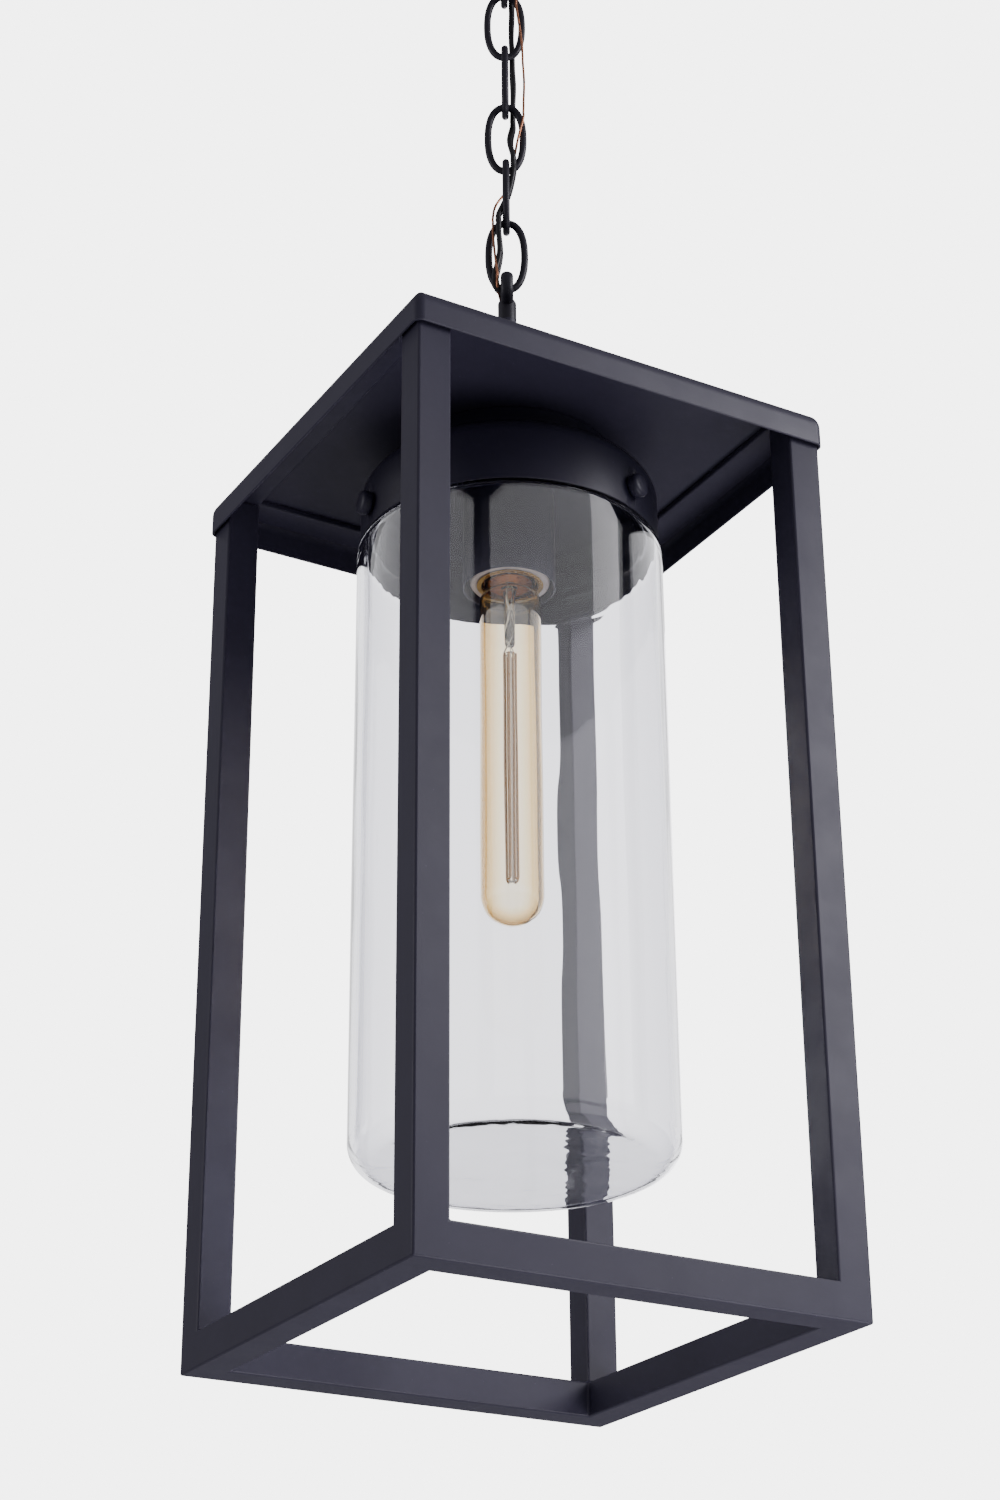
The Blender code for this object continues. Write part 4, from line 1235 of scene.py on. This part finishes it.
def laid_in_chain(name, lines, radius, material):
    """A wire or a pair in one piece for each pivot, from the middle of one link to the middle of the next.
    """
    ends = [0.0]
    ends += [(link_wire(n) + link_wire(n + 1)) / 2 for n in range(1, LINKS + 1)]
    ends += [CEILING + 0.02]
    for number in range(1, LINKS + 2):
        low, high = ends[number - 1], ends[number]
        cut_lines = []
        for line in lines:
            part = between_heights(line, max(low, line[0].z), min(high, line[-1].z))
            cut_lines.append([chain_point(*point) for point in part])
        piece = drawn_wires(f"{name}_{number}", cut_lines, radius, material, 14)
        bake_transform(piece)
        nodes = [f"{name}_{number}"] + ([f"{name}_0"] if number == 1 else [])
        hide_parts(*nodes)


STEP = 0.0012
supply_line = smooth_line(supply_route(), STEP)
earth_line = smooth_line(earth_route(), STEP)
laid_in_chain("supply_wires", strands(supply_line), STRAND_R, INSULATION)
laid_in_chain("earth_wire", [earth_line], EARTH_R, COPPER)
print(f"{len(supply_line)} points along the pair, {len(earth_line)} along the bare wire")

# %% [markdown]
# The canopy hides the fixing at the ceiling: a drawn dish, a collar ring that screws up
# under it, and the loop that carries the chain. They are turned or swept like the rest.

# %% Canopy
LOOP_BEND = 0.0115
COLLAR_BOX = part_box("collar_ring")
COLLAR_LOW, COLLAR_HIGH = COLLAR_BOX[0][2] - BENCH, COLLAR_BOX[1][2] - BENCH


def canopy_dish():
    """The drawn dish that covers the fixing."""
    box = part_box("canopy_dish")
    low, high, r, bend, sheet = box[0][2] - BENCH, box[1][2] - BENCH, box[1][0], 0.0100, 0.0010
    outer = [(0.0116, low)] + arc(r - bend, low + bend, bend, -90, 0, 14)
    outer += [(r, high - 0.0003), (r - 0.0003, high)]
    inner = [(r - sheet, high)] + arc(r - bend, low + bend, bend - sheet, 0, -90, 12)
    inner += [(0.0116, low + sheet)]
    return finished("canopy_dish", turned(outer + inner, 120), FRAME_PAINT, 40)


def collar_ring():
    """The ring that screws up under the dish."""
    inner, outer = 0.0113, 0.0165
    outline = [(inner, COLLAR_LOW), (inner + 0.0030, COLLAR_LOW)]
    outline += arc(outer - 0.0020, COLLAR_LOW + 0.0020, 0.0020, -90, 0, 6)
    outline += [(outer, COLLAR_HIGH - 0.0008), (outer - 0.0008, COLLAR_HIGH), (inner, COLLAR_HIGH)]
    return finished("collar_ring", turned(outline, 72), FRAME_PAINT, 40)


def canopy_loop():
    """The round loop that carries the chain, and its threaded shank."""
    centre = link_wire(LINKS + 1) + LOOP_BEND
    rings = []
    for i in range(64):
        angle = 2 * math.pi * i / 64
        ring = []
        for k in range(20):
            turn = 2 * math.pi * k / 20
            reach = LOOP_BEND + LOOP_WIRE / 2 * math.cos(turn)
            away = LOOP_WIRE / 2 * math.sin(turn)
            ring.append(chain_point(reach * math.cos(angle), away, centre + reach * math.sin(angle)))
        rings.append(ring)
    ring = finished("canopy_loop", skin(rings, closed=True), CHAIN_PAINT, 60)
    low = centre + LOOP_BEND - LOOP_WIRE / 2 + 0.0004
    high = COLLAR_HIGH + 0.0090
    shank = [(0.0041, low), (0.0090, low), (0.0105, low + 0.0006), (0.0110, low + 0.0020)]
    shank += [(0.0110, high), (0.0052, high), (0.0052, COLLAR_HIGH), (0.0041, COLLAR_HIGH)]
    stand_for(ring, "ceiling_fitting", "canopy_loop")
    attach(finished("loop_shank", turned(shank, 56), CHAIN_PAINT), "ceiling_fitting")


stand_for(canopy_dish(), "canopy", "canopy_dish")
stand_for(collar_ring(), "collar", "collar_ring")
canopy_loop()

# %% [markdown]
# The nodes that are right as they stand keep their meshes and only get a finish: the
# fixings above the canopy, the stem's nut, the contacts and the screws' soft tips.

# %% Finishes for the plain nodes
PLAIN = {
    "mounting_strap": ZINC,
    "mounting_screw_left": ZINC,
    "mounting_screw_right": ZINC,
    "threaded_nipple": ZINC,
    "stem_nut": ZINC,
    "socket_contact": BRASS,
    "bulb_contact": BRASS,
    "thumbscrew_tip_1": NYLON,
    "thumbscrew_tip_2": NYLON,
    "thumbscrew_tip_3": NYLON,
}
for name, material in PLAIN.items():
    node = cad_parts[name]
    node.data.materials.clear()
    node.data.materials.append(material)
print(f"{len(PLAIN)} plain nodes finished")

# %% [markdown]
# The room is a white studio, with a pale floor well below the lantern. The world is bright
# where the camera sees it directly, less bright in and through clear glass, and dim for
# everything else, so that the painted faces keep their contrast under the lights. The floor
# glows only where the camera sees it directly, so it is darker when seen through glass.

# %% Studio


FLOOR_GLOW = 2.6
GLOW_SHARE = 0.7
SEEN, GLAZED, DIM = 5.2, 2.5, 0.24


def studio_floor():
    """A large pale square, with a glow that only camera rays see."""
    size, level = 6.0, at(-0.75)
    mesh = bmesh.new()
    corners = ((-size, -size), (size, -size), (size, size), (-size, size))
    mesh.faces.new([mesh.verts.new((x, y, level)) for x, y in corners])
    material, shader = new_finish("pale_floor", (0.60, 0.60, 0.61), 0.7)
    glow = add_node(material, "ShaderNodeEmission", Color=(1, 1, 1, 1), Strength=FLOOR_GLOW)
    path = material.node_tree.nodes.new("ShaderNodeLightPath")
    share = material.node_tree.nodes.new("ShaderNodeMath")
    share.operation = "MULTIPLY"
    share.inputs[1].default_value = GLOW_SHARE
    mix = material.node_tree.nodes.new("ShaderNodeMixShader")
    wire(material, path.outputs["Is Camera Ray"], share.inputs[0])
    wire(material, share.outputs[0], mix.inputs["Fac"])
    wire(material, shader.outputs["BSDF"], mix.inputs[1])
    wire(material, glow.outputs["Emission"], mix.inputs[2])
    wire(material, mix.outputs["Shader"], material.node_tree.nodes["Material Output"].inputs["Surface"])
    floor = finished("studio_floor", mesh, material)


def studio_world():
    """A world of three strengths, one for each kind of ray."""
    world = bpy.data.worlds.new("white_studio")
    world.use_nodes = True
    tree = world.node_tree
    seen = tree.nodes["Background"]
    seen.inputs["Color"].default_value = (1, 1, 1, 1)
    seen.inputs["Strength"].default_value = SEEN
    dim = tree.nodes.new("ShaderNodeBackground")
    dim.inputs["Color"].default_value = (0.92, 0.90, 1.0, 1)
    dim.inputs["Strength"].default_value = DIM
    glazed = tree.nodes.new("ShaderNodeBackground")
    glazed.inputs["Color"].default_value = (0.97, 0.97, 1.0, 1)
    glazed.inputs["Strength"].default_value = GLAZED
    path = tree.nodes.new("ShaderNodeLightPath")
    through = tree.nodes.new("ShaderNodeMixShader")
    mix = tree.nodes.new("ShaderNodeMixShader")
    tree.links.new(path.outputs["Is Singular Ray"], through.inputs["Fac"])
    tree.links.new(dim.outputs[0], through.inputs[1])
    tree.links.new(glazed.outputs[0], through.inputs[2])
    tree.links.new(path.outputs["Is Camera Ray"], mix.inputs["Fac"])
    tree.links.new(through.outputs[0], mix.inputs[1])
    tree.links.new(seen.outputs[0], mix.inputs[2])
    tree.links.new(mix.outputs[0], tree.nodes["World Output"].inputs["Surface"])
    bpy.context.scene.world = world


def soft_box(name, place, target, size, watts):
    """A rectangular lamp that is aimed at a point and isn't seen itself."""
    data = bpy.data.lights.new(name, "AREA")
    data.shape = "RECTANGLE"
    data.size, data.size_y = size
    data.energy = watts
    light = bpy.data.objects.new(name, data)
    light.location = place
    light.visible_camera = False
    light.visible_transmission = False
    data.color = (0.96, 0.94, 1.0)
    aim = Vector(target) - Vector(place)
    light.rotation_euler = aim.to_track_quat("-Z", "Y").to_euler()
    bpy.context.collection.objects.link(light)


studio_floor()
studio_world()
middle = (0, 0, at(0.25))
soft_box("key", (1.6, -1.6, at(1.35)), middle, (1.0, 1.4), 34)
soft_box("fill_low", (0.4, -0.5, at(-0.70)), middle, (1.2, 1.2), 13)
soft_box("back", (1.4, 1.8, at(0.8)), middle, (1.0, 1.4), 15)
soft_box("left", (-2.0, 0.7, at(0.7)), middle, (1.0, 1.4), 9)
